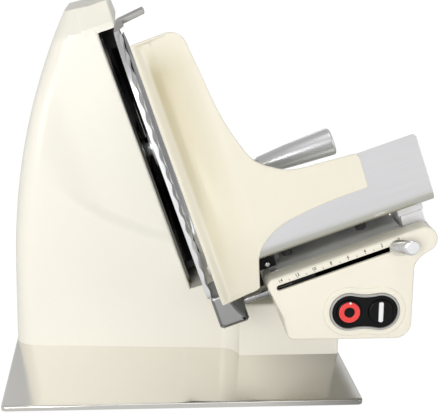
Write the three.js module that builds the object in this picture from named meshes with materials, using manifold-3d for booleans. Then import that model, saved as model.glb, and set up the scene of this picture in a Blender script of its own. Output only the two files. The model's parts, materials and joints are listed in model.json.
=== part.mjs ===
// Gravity-feed food slicer with a hand-pushed carriage, as an assembly of separate pieces.
// Millimetres. +X runs from the motor housing to the carriage rod, +Y from the operator to the rear, +Z up.
// The blade, thickness plate and carriage lie in a slope frame, tilted about Y: there x is the distance out
// from the foot of the blade plane and z the distance up it. The names of slope sizes end in Out and Up.
import * as THREE from "three";
import { mergeVertices } from "three/addons/utils/BufferGeometryUtils.js";
import Module from "manifold-3d";

const wasm = await Module();
wasm.setup();

// Shared sizes
const tiltDegrees = 19.5;
const seatGap = 0.3;
const runGap = 0.6;
const spinGap = 0.08;
const turnGap = 0.1;
const overrun = 4;
const weldDistance = 0.0005;
const outlineStep = 0.01;

// Base plate and feet
const baseLeft = 91.3;
const baseRight = 239.8;
const baseFront = -12;
const baseDepth = 330;
const baseThick = 5;
const baseCorner = 5;
const baseEdge = 1.4;
const footRadius = 15;
const footHeight = 12;
const footTaper = 3;
const footSideInset = 30;
const footEndInset = 44;

// Motor housing: a fin that leans over the blade, and its hood
const housingInset = 0.8;
const housingWall = 5;
const frontAtLeft = 138;
const frontAtStep = 121;
const housingBack = 318;
const bladeFaceOut = 105;
const leanStart = 71;
const leanReach = 53;
const leanPower = 2.2;
const crownLeft = 341;
const crownUp = 331;
const finCorner = 18;
const faceCorner = 3;
const hoodReachOut = 123;
const hoodRootOut = 88;
const hoodUnderUp = 304.5;
const hoodChamfer = 20;
const hoodEdge = 2.5;

// The soft crease across the front of the fin, above which the front lies further back
const creaseDepth = 5;
const creaseAtFaceUp = 78.5;
const creaseSlope = 0.6;
const creaseRadius = 269;
const creaseBlend = 9;
const creaseFadeOut = 10;
const creaseFadeOver = 45;

// Low block under the control housing, the curved step that joins it to the fin, and the ramp over the step
const stepStart = 119;
const stepEnd = 137;
const stepRoot = 70;
const stepMeet = 84;
const stepProud = 0.1;
const blockFront = 99.5;
const blockRight = 238.6;
const blockTop = 54;
const blockEdge = 3;
const rampRightOut = 150;
const rampTopUp = 30;

// Air slots in the rear of the housing
const ventCount = 7;
const ventPitch = 13;
const ventWidth = 4.5;
const ventLow = 34;
const ventHigh = 92;
const ventFirst = -52;

// Blade, its cover and its guard ring
const bladePlaneOut = 126;
const bladeCentreUp = 166.5;
const bladeCentreDepth = 205;
const bladeRadius = 125;
const bladeEdgeWidth = 4;
const bladeRimWidth = 19;
const bladeDish = 5;
const bladeThick = 2.5;
const bladeBore = 11;
const coverInset = 23;
const coverRadius = bladeRadius - coverInset;
const coverThick = 3.4;
const coverCrown = 1.2;
const coverBossRadius = 16;
const tieRadius = 4;
const tieHeadRadius = 8;
const tieHeadThick = 5;
const ringBladeGap = 2.6;
const ringWidth = 6.9;
const ringInner = bladeRadius + ringBladeGap;
const ringRadius = ringInner + ringWidth;
const ringDepth = 14;
const ringOpenDegrees = 134;
const sidePlateThick = 1.5;
const sidePlateLowUp = 31;
const sidePlateFront = 134;
const sidePlateBack = 313;
const sidePlateCorner = 8;

// Blade drive: hollow shaft, bearings, belt and motor
const shaftRadius = 12;
const shaftBore = 4.6;
const shaftEndOut = 28;
const flangeRadius = 30;
const flangeThick = 5;
const bearingRadius = 22;
const bearingWidth = 9;
const bearingSpacing = 32;
const bearingWall = 5;
const bearingFlange = 36;
const bearingFlangeThick = 5;
const wallHoleRadius = 33;
const pulleyOut = 30;
const pulleyWidth = 12;
const pulleyRadius = 52;
const pulleyWeb = 4;
const pulleyRim = 6;
const motorPulleyRadius = 12;
const beltThick = 2.6;
const beltWidth = 10;
const motorUp = 60;
const motorBehindBlade = 30;
const motorDepth = bladeCentreDepth + motorBehindBlade;
const motorRadius = 36;
const motorLength = 66;
const motorLeftOut = -46;
const motorWall = 3;
const motorEdge = 4;
const motorShaftRadius = 5;
const rotorRadius = 20;
const rotorLength = 40;
const bracketThick = 4;
const bracketHalfWidth = 40;
const bracketTopUp = 92;
const mastHalfWidth = 13;

// Cord inlet at the rear
const inletX = -30;
const inletZ = 24;
const inletRadius = 10;
const inletReach = 9;
const inletNeck = 7;

// Thickness plate, the cast block at its foot and the rod that carries both
const gaugeThick = 4.5;
const gaugeFront = 15;
const gaugeLowUp = 50;
const gaugeSweepUp = 240;
const gaugeTopUp = 312;
const gaugeTopFront = 98;
const gaugeTopBack = 129;
const gaugeBladeLead = 57;
const gaugeBack = bladeCentreDepth - gaugeBladeLead;
const gaugeShoulderUp = 299;
const gaugeBladeGap = 3.5;
const gaugeHollowTurn = 40;
const ribPitch = 17.8;
const ribDepth = 1.6;
const ribSteps = 6;
const lipReachOut = 154;
const lipRiseUp = 3.4;
const lipThick = 3;
const lipRootUp = 8;
const lipEdge = 0.6;
const carrierLeftOut = 124;
const carrierRightOut = 152;
const carrierLowUp = 17;
const carrierHighUp = gaugeLowUp - seatGap;
const carrierFront = 22;
const carrierBack = 66;
const carrierEdge = 1.5;
const scoopRight = 36;
const scoopRadius = 49;
const scoopBall = 66.5;
const scoopSteps = 6;
const gaugeRodRadius = 4;
const gaugeRodUp = 29;
const gaugeRodDepth = 45;
const gaugeRodSocket = 14;
const bushWall = 2.6;
const bushLength = 7.4;

// Control housing and its front panel
const noseBeyondCarrier = 32;
const noseOut = carrierRightOut + noseBeyondCarrier;
const noseUp = 47.5;
const noseRadius = 7.2;
const flankBendIn = 7.9;
const flankBendZ = 75.7;
const flankFootIn = 12.4;
const flankFootZ = 57.6;
const heelIn = 15.4;
const panelBottom = 54.3;
const panelRight = 284.5;
const panelCorner = 15;
const panelFlare = 121;
const panelThick = 20;
const panelWall = 3.2;
const panelEdge = 2.6;
const controlWall = 2.5;
const controlBack = 308;
const rearBlockDepth = 20;
const topPlateThick = 1.5;

// Guide rod of the carriage
const rodOut = 325.5;
const rodUp = 42.6;
const rodRadius = 5.5;
const lobeRadius = 12;
const rodSocketDepth = 14;
const rodRelief = 14;

// Thickness slider in the front panel
const slotUp = 44.9;
const slotHeight = 5.2;
const sliderOut = 306;
const sliderTravel = 113;
const gaugeTravel = 14;
const stemHalfWidth = 3.5;
const stemHalfHeight = 2.2;
const shoeHalfWidth = 9;
const shoeRightReach = 1.5;
const shoeLowUp = 40.7;
const shoeHighUp = 48.6;
const shoeThick = 7;
const tongueHalfWidth = 4;
const pinOffset = 2.8;
const pinRadius = 2;
const pinDepth = 64;
const knobBossOffset = 7;
const knobBossRadius = 7.7;
const knobBossReach = 8;
const knobFaceOffset = 4.5;
const knobFaceRadius = 6.8;
const knobFaceReach = 14;
const knobEdge = 1.6;
const knobLift = 1;
const scaleThick = 0.5;
const scaleLowUp = 48.6;
const scaleHighUp = 54;

// Cam plate that turns the long slider travel into the thickness plate's short travel, and the crosshead
const camThick = 3;
const camLowUp = 37;
const camMargin = 2.3;
const camFront = 30;
const camBack = 113;
const camTravel = 28;
const camRunGap = 0.35;
const crossBeyondNose = 17.5;
const crossLeftOut = noseOut + crossBeyondNose;
const crossWidth = 22.5;
const crossLowUp = 21;
const crossBack = 105;
const crossFront = 37;
const gaugePinInset = 14.5;
const gaugePinOut = crossLeftOut + gaugePinInset;
const gaugePinDepth = 98;
const camPostShares = [0.36, 0.84];
const camPostDepth = 107;
const camPostRadius = 2;
const camPostHead = 4.6;
const camPostHeadThick = 2;

// Switch
const switchX = 239.95;
const switchZ = 81.7;
const switchLobe = 15.5;
const switchHalfPitch = 14.55;
const switchWaist = 13.9;
const switchPlateThick = 2.4;
const bezelWidth = 1.9;
const bezelReach = 1.4;
const collarWidth = 5.5;
const collarReach = 1.6;
const collarEdge = 1;
const buttonRadius = 11.2;
const buttonReach = 1.4;
const buttonDepth = 6;
const buttonTravel = 2;
const markThick = 0.5;
const offRingOuter = 9.7;
const offRingInner = 4.9;
const onBarWidth = 4.2;
const onBarHeight = 18.8;
const switchBoxHalfWidth = 32;
const switchBoxHalfHeight = 14;
const switchBoxDepth = 38;
const switchNeck = 10;

// Relay box behind the switch
const relayX = 225;
const relayWidth = 60;
const relayFront = 130;
const relayDepth = 70;
const relayHeight = 26;
const relayEdge = 2;

// Tray
const trayWall = 3;
const trayUnderUp = 74.5;
const trayBendUp = 84;
const trayTopUp = 140.3;
const trayFrontDepth = 0.4;
const trayBendDepth = 10;
const trayBackDepth = 190;
const trayRearUp = 88;
const trayLeftOut = 131;
const trayRightOut = 345;
const trayEdge = 0.5;
const trayBendShare = 1.4;
const bayLift = 2;
const padRadius = 5;
const padHeight = 8;
const padDepth = 20;
const padLeftOut = 205;
const padRightOut = 276;

// Hand guard on the front of the tray
const guardThick = 4;
const guardLipOut = 133;
const guardWidth = 158;
const guardLowUp = 50;
const guardHeight = 247;
const guardLipWidth = 8;
const guardLipReach = 5;
const guardScoopDepth = 13;
const guardScoopOut = 150;
const guardScoopWidth = 31;
const guardScoopLowUp = 84;
const guardScoopHighUp = 200;

// Carriage arm, cross bar and roller
const armFrontDepth = 28;
const armLength = 52;
const armHalfWidth = 10.5;
const armHubRadius = 12.7;
const armTopUp = 61.7;
const rodBushRadius = 8;
const rodBushLength = 14;
const rodBushProud = 2;
const barLowUp = 62;
const barFront = 60;
const barBack = 100;
const barLeftReach = 15;
const barRightOut = 340;
const barPadHalfWidth = 12;
const rollerRadius = 6.5;
const rollerWidth = 8;
const rollerBeyondNose = 7;
const rollerOut = noseOut + rollerBeyondNose;
const rollerDepth = 80;
const cheekThick = 3.6;
const cheekHalfDepth = 7;
const cheekLowUp = 57;
const axleRadius = 2;
const hookBeforeNose = 13.5;
const hookOut = noseOut - hookBeforeNose;
const hookWidth = 5;
const hookLowUp = 43;
const hookReach = 21.5;
const hookReachOut = hookOut + hookReach;
const hookTopUp = 66;
const hookUnderUp = 58;
const hookFront = 24;
const hookDepth = 14;
const hookEdge = 1;

// Pusher with its rod, arm, toothed plate and handle
const pushRodRadius = 6;
const pushRodUp = 70;
const pushRodBeyondTray = 16;
const pushRodDepth = trayBackDepth + pushRodBeyondTray;
const pushRodLeftOut = 132;
const pushRodRightOut = 322;
const pushBracketThick = 5;
const pushBracketRadius = 9;
const pushBracketLeftOut = 136;
const pushBracketRightOut = 306;
const sleeveRadius = 8.5;
const sleeveLeftOut = 202;
const sleeveLength = 44;
const pushOut = 196;
const pushPlateThick = 5;
const pushPlateFront = 42;
const pushPlateBack = 150;
const pushPlateLowUp = 84;
const pushPlateHighUp = 138;
const pushPlateCorner = 12;
const toothLength = 4.5;
const toothRadius = 2.6;
const toothRows = 3;
const toothColumns = 6;
const pushArmThick = 7;
const pushArmWidth = 15;
const pushArmUp = 118;
const pushArmEdge = 0.8;
const pushArmBend = 25;
const pushArmLead = 8;
const handleUp = 134;
const handleDepth = 100;
const handleRootOut = 209;
const handleEndOut = 285.3;
const handleRootRadius = 8;
const handleMidRadius = 10.4;
const handleEndRadius = 14;
const handleMidShare = 0.42;
const handleRim = 1.2;
const handleDimple = 4;
const handleDimpleDepth = 2.5;

// Facets
const fineTurn = 56;
const midTurn = 28;
const smallTurn = 18;
const tinyTurn = 12;

const tilt = THREE.MathUtils.degToRad(tiltDegrees);
const lean = { cos: Math.cos(tilt), sin: Math.sin(tilt), tan: Math.tan(tilt) };

// Finishes
const finish = (color, roughness, metalness) =>
  new THREE.MeshStandardMaterial({ color, roughness, metalness });
const cream = finish(0xf0ecdc, 0.35, 0);
const creamSatin = finish(0xf2eddc, 0.5, 0);
const polished = finish(0xb9b9b4, 0.12, 1);
const satinAluminium = finish(0xc9c9cb, 0.38, 1);
const castGrey = finish(0x9aa09c, 0.5, 1);
const bladeSteel = finish(0xc4c6c8, 0.18, 1);
const blackPlastic = finish(0x1c1e1e, 0.4, 0);
const blackRubber = finish(0x161616, 0.75, 0);
const switchRed = finish(0xee5250, 0.4, 0);
const switchWhite = finish(0xebebeb, 0.4, 0);
const greyPlastic = finish(0xb4b4ae, 0.45, 0);
const motorPaint = finish(0x3a3d40, 0.6, 0.3);
const bronze = finish(0xa9854b, 0.45, 1);
const boardGreen = finish(0x2f4a3a, 0.6, 0);

// Solids: closed geometry in, manifold solid out
function solidFrom(geometry) {
  const bare = geometry.clone();
  bare.deleteAttribute("normal");
  bare.deleteAttribute("uv");
  const merged = mergeVertices(bare, weldDistance);
  const points = merged.attributes.position;
  const corner = (i) => new THREE.Vector3().fromBufferAttribute(points, i);
  const kept = [];
  let volume = 0;
  for (let i = 0; i < merged.index.count; i += 3) {
    const [a, b, c] = [0, 1, 2].map((k) => merged.index.getX(i + k));
    if (a === b || b === c || c === a) continue;
    kept.push([a, b, c]);
    volume += corner(a).dot(corner(b).cross(corner(c)));
  }
  const triVerts = new Uint32Array(kept.flatMap(([a, b, c]) => (volume < 0 ? [a, c, b] : [a, b, c])));
  const vertProperties = new Float32Array(points.array);
  return new wasm.Manifold(new wasm.Mesh({ numProp: 3, vertProperties, triVerts }));
}

function meshFrom(name, solid, material) {
  const { vertProperties, triVerts } = solid.getMesh();
  const geometry = new THREE.BufferGeometry();
  geometry.setAttribute("position", new THREE.BufferAttribute(new Float32Array(vertProperties), 3));
  geometry.setIndex(new THREE.BufferAttribute(new Uint32Array(triVerts), 1));
  geometry.computeVertexNormals();
  const mesh = new THREE.Mesh(geometry, material);
  mesh.name = name;
  return mesh;
}

const joined = (...solids) => solids.reduce((whole, solid) => whole.add(solid));
const cutBy = (body, ...tools) => tools.reduce((left, tool) => left.subtract(tool), body);

// An outline swept along one axis from one place to another, with an optional rounded edge at both ends.
// The outline's own x and y are the frame's X and Z along Y, its Y and Z along X, and its X and Y along Z.
const sweepAxes = {
  x: new THREE.Matrix4().makeBasis(
    new THREE.Vector3(0, 1, 0), new THREE.Vector3(0, 0, 1), new THREE.Vector3(1, 0, 0)),
  y: new THREE.Matrix4().makeBasis(
    new THREE.Vector3(1, 0, 0), new THREE.Vector3(0, 0, 1), new THREE.Vector3(0, -1, 0)),
  z: new THREE.Matrix4(),
};

function cleanOutline(shape, curveSegments) {
  const points = shape.getPoints(curveSegments);
  const apart = (p, i) => p.distanceTo(points.at(i - 1)) > outlineStep;
  return new THREE.Shape(points.filter(apart));
}

function swept(axis, shape, from, to, edge = 0, curveSegments = 8, bevelSegments = 1) {
  const geometry = new THREE.ExtrudeGeometry(cleanOutline(shape, curveSegments), {
    depth: to - from - 2 * edge,
    bevelEnabled: edge > 0,
    bevelThickness: edge,
    bevelSize: edge,
    bevelOffset: -edge,
    bevelSegments,
  });
  geometry.applyMatrix4(sweepAxes[axis]);
  const start = axis === "y" ? to - edge : from + edge;
  geometry.translate(axis === "x" ? start : 0, axis === "y" ? start : 0, axis === "z" ? start : 0);
  return solidFrom(geometry);
}

// A profile of [radius, place] pairs turned about an axis that runs through a point
function turned(axis, centre, profile, segments) {
  const outline = profile.map(([radius, place]) => new THREE.Vector2(radius, place));
  const geometry = new THREE.LatheGeometry(outline, segments);
  if (axis === "x") geometry.rotateZ(-Math.PI / 2);
  if (axis === "z") geometry.rotateX(Math.PI / 2);
  geometry.translate(...centre);
  return solidFrom(geometry);
}

const pin = (axis, centre, radius, from, to, segments = smallTurn) =>
  turned(axis, centre, [[0, from], [radius, from], [radius, to], [0, to]], segments);

const pipe = (axis, centre, outer, inner, from, to, segments = midTurn) =>
  turned(axis, centre, [[inner, from], [outer, from], [outer, to], [inner, to], [inner, from]], segments);

function box(x, y, z) {
  const geometry = new THREE.BoxGeometry(x[1] - x[0], y[1] - y[0], z[1] - z[0]);
  geometry.translate((x[0] + x[1]) / 2, (y[0] + y[1]) / 2, (z[0] + z[1]) / 2);
  return solidFrom(geometry);
}

function roundedOutline(left, low, right, high, radius) {
  const shape = new THREE.Shape();
  shape.moveTo(left + radius, low);
  shape.lineTo(right - radius, low);
  shape.absarc(right - radius, low + radius, radius, -Math.PI / 2, 0, false);
  shape.lineTo(right, high - radius);
  shape.absarc(right - radius, high - radius, radius, 0, Math.PI / 2, false);
  shape.lineTo(left + radius, high);
  shape.absarc(left + radius, high - radius, radius, Math.PI / 2, Math.PI, false);
  shape.lineTo(left, low + radius);
  shape.absarc(left + radius, low + radius, radius, Math.PI, Math.PI * 1.5, false);
  return shape;
}

const polygon = (points) => new THREE.Shape(points.map(([x, y]) => new THREE.Vector2(x, y)));

// Loops of points, stacked and closed at both ends
function lofted(loops) {
  const count = loops[0].length;
  const points = loops.flat();
  const index = [];
  for (let level = 0; level + 1 < loops.length; level += 1) {
    for (let i = 0; i < count; i += 1) {
      const next = (i + 1) % count;
      const low = level * count;
      const high = low + count;
      index.push(low + i, low + next, high + next, low + i, high + next, high + i);
    }
  }
  const middle = (loop) => loop.reduce((sum, p) => sum.clone().add(p)).divideScalar(loop.length);
  points.push(middle(loops[0]), middle(loops.at(-1)));
  const top = (loops.length - 1) * count;
  for (let i = 0; i < count; i += 1) {
    const next = (i + 1) % count;
    index.push(points.length - 2, next, i, points.length - 1, top + i, top + next);
  }
  const geometry = new THREE.BufferGeometry().setFromPoints(points);
  geometry.setIndex(index);
  return solidFrom(geometry);
}

// Between the upright frame and the slope frame
const toSlope = (x, z) => ({ out: x * lean.cos + z * lean.sin, up: z * lean.cos - x * lean.sin });
const fromSlope = (out, up) => ({ x: out * lean.cos - up * lean.sin, z: out * lean.sin + up * lean.cos });
const mix = (from, to, share) => from + (to - from) * share;
const smooth = (value) => THREE.MathUtils.smoothstep(value, 0, 1);

const group = new THREE.Group();
const slope = new THREE.Group();
slope.rotation.y = -tilt;
group.add(slope);
const addUpright = (name, solid, material) => group.add(meshFrom(name, solid, material));
const addSloped = (name, solid, material) => slope.add(meshFrom(name, solid, material));

// Everything under the level z, as a solid in the slope frame
function belowLevel(z) {
  const reach = baseRight + baseDepth;
  const geometry = new THREE.BoxGeometry(2 * reach, 2 * reach, reach);
  geometry.translate(0, 0, z - reach / 2);
  geometry.rotateY(tilt);
  return solidFrom(geometry);
}

// Base plate and feet
const baseOutline = roundedOutline(-baseLeft, baseFront, baseRight, baseDepth, baseCorner);
addUpright("base_plate", swept("z", baseOutline, -baseThick, 0, baseEdge, 4), polished);

const footTop = -baseThick - seatGap;
const footProfile = [
  [0, footTop - footHeight],
  [footRadius - footTaper, footTop - footHeight],
  [footRadius, footTop - footTaper],
  [footRadius, footTop],
  [0, footTop],
];
const footPlaces = {
  front_left: [footSideInset - baseLeft, baseFront + footEndInset, 0],
  front_right: [baseRight - footSideInset, baseFront + footEndInset, 0],
  rear_left: [footSideInset - baseLeft, baseDepth - footEndInset, 0],
  rear_right: [baseRight - footSideInset, baseDepth - footEndInset, 0],
};
for (const [corner, place] of Object.entries(footPlaces)) {
  addUpright(`foot_${corner}`, turned("z", place, footProfile, smallTurn), blackRubber);
}

// Motor housing: level loops from the base to the crown, between the leaning back and the blade face
const housingLeft = -baseLeft + housingInset;
const faceFootUp = -bladeFaceOut * lean.tan;

function backEdge(z) {
  const climb = Math.max(0, z - leanStart) / (crownLeft - leanStart);
  return housingLeft + leanReach * climb ** leanPower;
}

function creaseUp(out) {
  const away = bladeFaceOut - out;
  return creaseAtFaceUp + creaseSlope * away + away ** 2 / creaseRadius;
}

const plainFront = (x) => mix(frontAtLeft, frontAtStep, (x - housingLeft) / (stepStart - housingLeft));

function frontDepth(x, z) {
  const { out, up } = toSlope(x, z);
  const above = smooth((up - creaseUp(out)) / creaseBlend);
  const towardsFace = smooth((out - creaseFadeOut) / creaseFadeOver);
  return plainFront(x) + creaseDepth * above * towardsFace;
}

// Distances along one side of a loop, as [along, drawn back from the side]
function sideStations(width, leftRadius, rightRadius, arcSteps, midSteps) {
  const stations = [];
  for (let i = 0; i <= arcSteps; i += 1) {
    const angle = (i / arcSteps) * (Math.PI / 2);
    stations.push([leftRadius * (1 - Math.cos(angle)), leftRadius * (1 - Math.sin(angle))]);
  }
  for (let i = 1; i < midSteps; i += 1) {
    stations.push([mix(leftRadius, width - rightRadius, i / midSteps), 0]);
  }
  for (let i = 0; i <= 2; i += 1) {
    const angle = (1 - i / 2) * (Math.PI / 2);
    stations.push([width - rightRadius * (1 - Math.cos(angle)), rightRadius * (1 - Math.sin(angle))]);
  }
  return stations;
}

function finLoop(share, inset, arcSteps, midSteps) {
  const leftZ = share * crownLeft;
  const left = { x: backEdge(leftZ) + inset, z: leftZ };
  const right = fromSlope(bladeFaceOut - inset, mix(faceFootUp, crownUp, share));
  const width = Math.hypot(right.x - left.x, right.z - left.z);
  const stations = sideStations(width, Math.min(finCorner, width / 3), faceCorner, arcSteps, midSteps);
  const place = ([along, drawn], rear) => {
    const x = mix(left.x, right.x, along / width);
    const z = mix(left.z, right.z, along / width);
    const chamfer = Math.max(0, toSlope(x, z).up - crownUp + hoodChamfer);
    const front = frontDepth(x, z) + inset + chamfer + drawn;
    const back = housingBack - inset - chamfer - drawn;
    return new THREE.Vector3(x, rear ? back : front, z);
  };
  return [...stations.map((s) => place(s, false)), ...stations.toReversed().map((s) => place(s, true))];
}

function finSolid(inset, levels, arcSteps, midSteps) {
  const crownShare = 1 - inset / crownLeft;
  const chamferShare = 1 - hoodChamfer / (crownUp - faceFootUp);
  const shares = Array.from({ length: levels + 1 }, (_, i) => (chamferShare * i) / levels);
  const loops = [...shares, crownShare].map((share) => finLoop(share, inset, arcSteps, midSteps));
  if (inset > 0) {
    loops.unshift(loops[0].map((point) => point.clone().setZ(point.z - overrun)));
  }
  return lofted(loops);
}

function blockOutline(inset) {
  const shape = new THREE.Shape();
  const stepMiddle = (stepStart + stepEnd) / 2;
  shape.moveTo(stepRoot, plainFront(stepRoot) + inset + faceCorner);
  shape.lineTo(stepMeet, plainFront(stepMeet) + inset - stepProud);
  shape.lineTo(stepStart, frontAtStep + inset);
  shape.bezierCurveTo(stepMiddle, frontAtStep + inset, stepEnd, mix(blockFront, frontAtStep, 0.5) + inset,
    stepEnd + inset, blockFront + inset);
  shape.lineTo(blockRight - inset, blockFront + inset);
  shape.lineTo(blockRight - inset, housingBack - inset);
  shape.lineTo(stepRoot, housingBack - inset);
  return shape;
}

const sloped = (solid) => {
  const turn = new THREE.Matrix4().makeRotationY(-tilt);
  return solid.transform(turn.elements);
};

function rampSolid(inset) {
  const ceiling = fromSlope(rampRightOut, rampTopUp).z + overrun;
  const column = swept("z", blockOutline(inset), blockTop - 2 * housingWall, ceiling, 0, 8);
  const top = box([stepRoot, rampRightOut - inset], [0, baseDepth], [-rampRightOut, rampTopUp - inset]);
  return column.intersect(sloped(top));
}

const hoodFront = frontDepth(fromSlope(bladeFaceOut, crownUp).x, fromSlope(bladeFaceOut, crownUp).z);
const hoodOutline = polygon([
  [hoodFront, hoodUnderUp],
  [hoodFront, crownUp - hoodChamfer],
  [hoodFront + hoodChamfer, crownUp],
  [housingBack - hoodChamfer, crownUp],
  [housingBack, crownUp - hoodChamfer],
  [housingBack, hoodUnderUp],
]);
const bladeAxis = [0, bladeCentreDepth, bladeCentreUp];
const ventLast = ventFirst + (ventCount - 1) * ventPitch;

function ventSolids() {
  return Array.from({ length: ventCount }, (_, i) => {
    const x = mix(ventFirst, ventLast, i / (ventCount - 1));
    const outline = roundedOutline(x - ventWidth / 2, ventLow, x + ventWidth / 2, ventHigh, ventWidth / 2);
    return swept("y", outline, housingBack - housingWall - overrun, housingBack + overrun, 0, 3);
  });
}

const housingOuter = joined(
  finSolid(0, 15, 4, 8),
  swept("z", blockOutline(0), 0, blockTop, blockEdge, 8),
  swept("z", blockOutline(0), 0, blockEdge, 0, 8),
  rampSolid(0),
  sloped(swept("x", hoodOutline, hoodRootOut, hoodReachOut, hoodEdge)),
);
const housingHollow = joined(
  finSolid(housingWall, 6, 2, 2),
  rampSolid(housingWall),
  swept("z", blockOutline(housingWall), -overrun, blockTop - housingWall, 0, 4),
);
const shaftHole = sloped(
  pin("x", bladeAxis, wallHoleRadius, bladeFaceOut - housingWall - overrun, bladeFaceOut + overrun, midTurn));
const inletHole = pin("y", [inletX, 0, inletZ], inletNeck + seatGap, housingBack - housingWall - overrun,
  housingBack + overrun);
const housing = cutBy(housingOuter, housingHollow, shaftHole, inletHole, ...ventSolids());
addUpright("main_housing", housing, cream);

const inletProfile = [
  [0, housingBack - housingWall - overrun],
  [inletNeck, housingBack - housingWall - overrun],
  [inletNeck, housingBack + seatGap],
  [inletRadius, housingBack + seatGap],
  [inletRadius - 2 * seatGap, housingBack + inletReach / 2],
  [inletNeck, housingBack + inletReach],
  [0, housingBack + inletReach],
];
addUpright("cord_inlet", turned("y", [inletX, 0, inletZ], inletProfile, smallTurn), blackPlastic);

// Polished plate on the blade face of the housing
const sidePlateOut = bladeFaceOut + seatGap;
const sidePlateOutline = roundedOutline(
  sidePlateFront, sidePlateLowUp, sidePlateBack, hoodUnderUp - seatGap, sidePlateCorner);
const sidePlateFaceOut = sidePlateOut + sidePlateThick;
const sidePlate = swept("x", sidePlateOutline, sidePlateOut, sidePlateFaceOut, 0, 5).subtract(
  pin("x", bladeAxis, wallHoleRadius, bladeFaceOut - overrun, sidePlateFaceOut + overrun, midTurn));
addSloped("side_plate", sidePlate, polished);

// Guard ring round the rear of the blade, open where the thickness plate is
function ringOutline() {
  const half = THREE.MathUtils.degToRad(ringOpenDegrees / 2);
  const shape = new THREE.Shape();
  shape.absarc(bladeCentreDepth, bladeCentreUp, ringRadius, -Math.PI + half, Math.PI - half, false);
  shape.absarc(bladeCentreDepth, bladeCentreUp, ringInner, Math.PI - half, -Math.PI + half, true);
  return shape;
}
const ringOut = sidePlateFaceOut + seatGap;
addSloped("blade_guard_ring",
  swept("x", ringOutline(), ringOut, ringOut + ringDepth, 0, 20), satinAluminium);

// Blade: a dished disc with a ground rim, on the flange of a hollow shaft
const bladeBackOut = -bladeDish - bladeThick;
const bladeProfile = [
  [bladeBore, bladeBackOut],
  [bladeRadius - bladeRimWidth + bladeThick, bladeBackOut],
  [bladeRadius - bladeEdgeWidth, -bladeThick],
  [bladeRadius, 0],
  [bladeRadius - bladeRimWidth, 0],
  [bladeRadius - bladeRimWidth - bladeThick, -bladeDish],
  [bladeBore, -bladeDish],
  [bladeBore, bladeBackOut],
];
const onBladePlane = [bladePlaneOut, bladeCentreDepth, bladeCentreUp];
addSloped("blade", turned("x", onBladePlane, bladeProfile, fineTurn), bladeSteel);

const coverBackOut = -bladeDish + runGap;
const coverProfile = [
  [0, coverBackOut],
  [coverRadius, coverBackOut],
  [coverRadius, coverBackOut + coverThick / 2],
  [coverRadius - coverThick, coverBackOut + coverThick],
  [coverBossRadius, coverBackOut + coverThick + coverCrown],
  [0, coverBackOut + coverThick + coverCrown],
];
addSloped("blade_cover", turned("x", onBladePlane, coverProfile, fineTurn), satinAluminium);

const flangeOut = bladePlaneOut + bladeBackOut - seatGap;
const shaftProfile = [
  [shaftBore, shaftEndOut],
  [shaftRadius, shaftEndOut],
  [shaftRadius, flangeOut - flangeThick],
  [flangeRadius, flangeOut - flangeThick],
  [flangeRadius, flangeOut],
  [bladeBore - seatGap, flangeOut],
  [bladeBore - seatGap, bladePlaneOut - bladeDish - runGap],
  [shaftBore, bladePlaneOut - bladeDish - runGap],
  [shaftBore, shaftEndOut],
];
addSloped("blade_shaft", turned("x", bladeAxis, shaftProfile, midTurn), bladeSteel);

// Bearing carrier bolted inside the blade face, with two bearings
const bearingsOut = bladeFaceOut - housingWall - seatGap;
const innerBearingOut = bearingsOut - bearingWidth - bearingSpacing;
const bearingsEndOut = innerBearingOut - bearingWidth;
const bearingCarrierProfile = [
  [bearingRadius + seatGap, bearingsEndOut],
  [bearingRadius + bearingWall, bearingsEndOut],
  [bearingRadius + bearingWall, bearingsOut - bearingFlangeThick],
  [bearingFlange, bearingsOut - bearingFlangeThick],
  [bearingFlange, bearingsOut],
  [bearingRadius + seatGap, bearingsOut],
  [bearingRadius + seatGap, bearingsEndOut],
];
addSloped("bearing_carrier", turned("x", bladeAxis, bearingCarrierProfile, midTurn), castGrey);
const bearingBore = shaftRadius + spinGap;
const bearingAt = (out) => pipe("x", bladeAxis, bearingRadius, bearingBore, out, out + bearingWidth);
addSloped("outer_bearing", bearingAt(bearingsOut - bearingWidth), bladeSteel);
addSloped("inner_bearing", bearingAt(bearingsEndOut), bladeSteel);

// Belt drive: driven pulley on the shaft, motor pulley below
const pulleyEndOut = pulleyOut + pulleyWidth;
const pulleyProfile = [
  [shaftRadius + seatGap, pulleyOut],
  [shaftRadius + pulleyRim, pulleyOut],
  [shaftRadius + pulleyRim, pulleyOut + pulleyWeb],
  [pulleyRadius - pulleyRim, pulleyOut + pulleyWeb],
  [pulleyRadius - pulleyRim, pulleyOut],
  [pulleyRadius, pulleyOut],
  [pulleyRadius, pulleyEndOut],
  [pulleyRadius - pulleyRim, pulleyEndOut],
  [pulleyRadius - pulleyRim, pulleyOut + 2 * pulleyWeb],
  [shaftRadius + pulleyRim, pulleyOut + 2 * pulleyWeb],
  [shaftRadius + pulleyRim, pulleyEndOut],
  [shaftRadius + seatGap, pulleyEndOut],
  [shaftRadius + seatGap, pulleyOut],
];
addSloped("driven_pulley", turned("x", bladeAxis, pulleyProfile, midTurn), castGrey);

const motorAxis = [0, motorDepth, motorUp];
const motorRightOut = motorLeftOut + motorLength;
const motorShaftEndOut = pulleyEndOut + seatGap;
const motorPulleyBore = motorShaftRadius + seatGap;
addSloped("drive_pulley",
  pipe("x", motorAxis, motorPulleyRadius, motorPulleyBore, pulleyOut, pulleyEndOut, smallTurn), castGrey);

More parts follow.
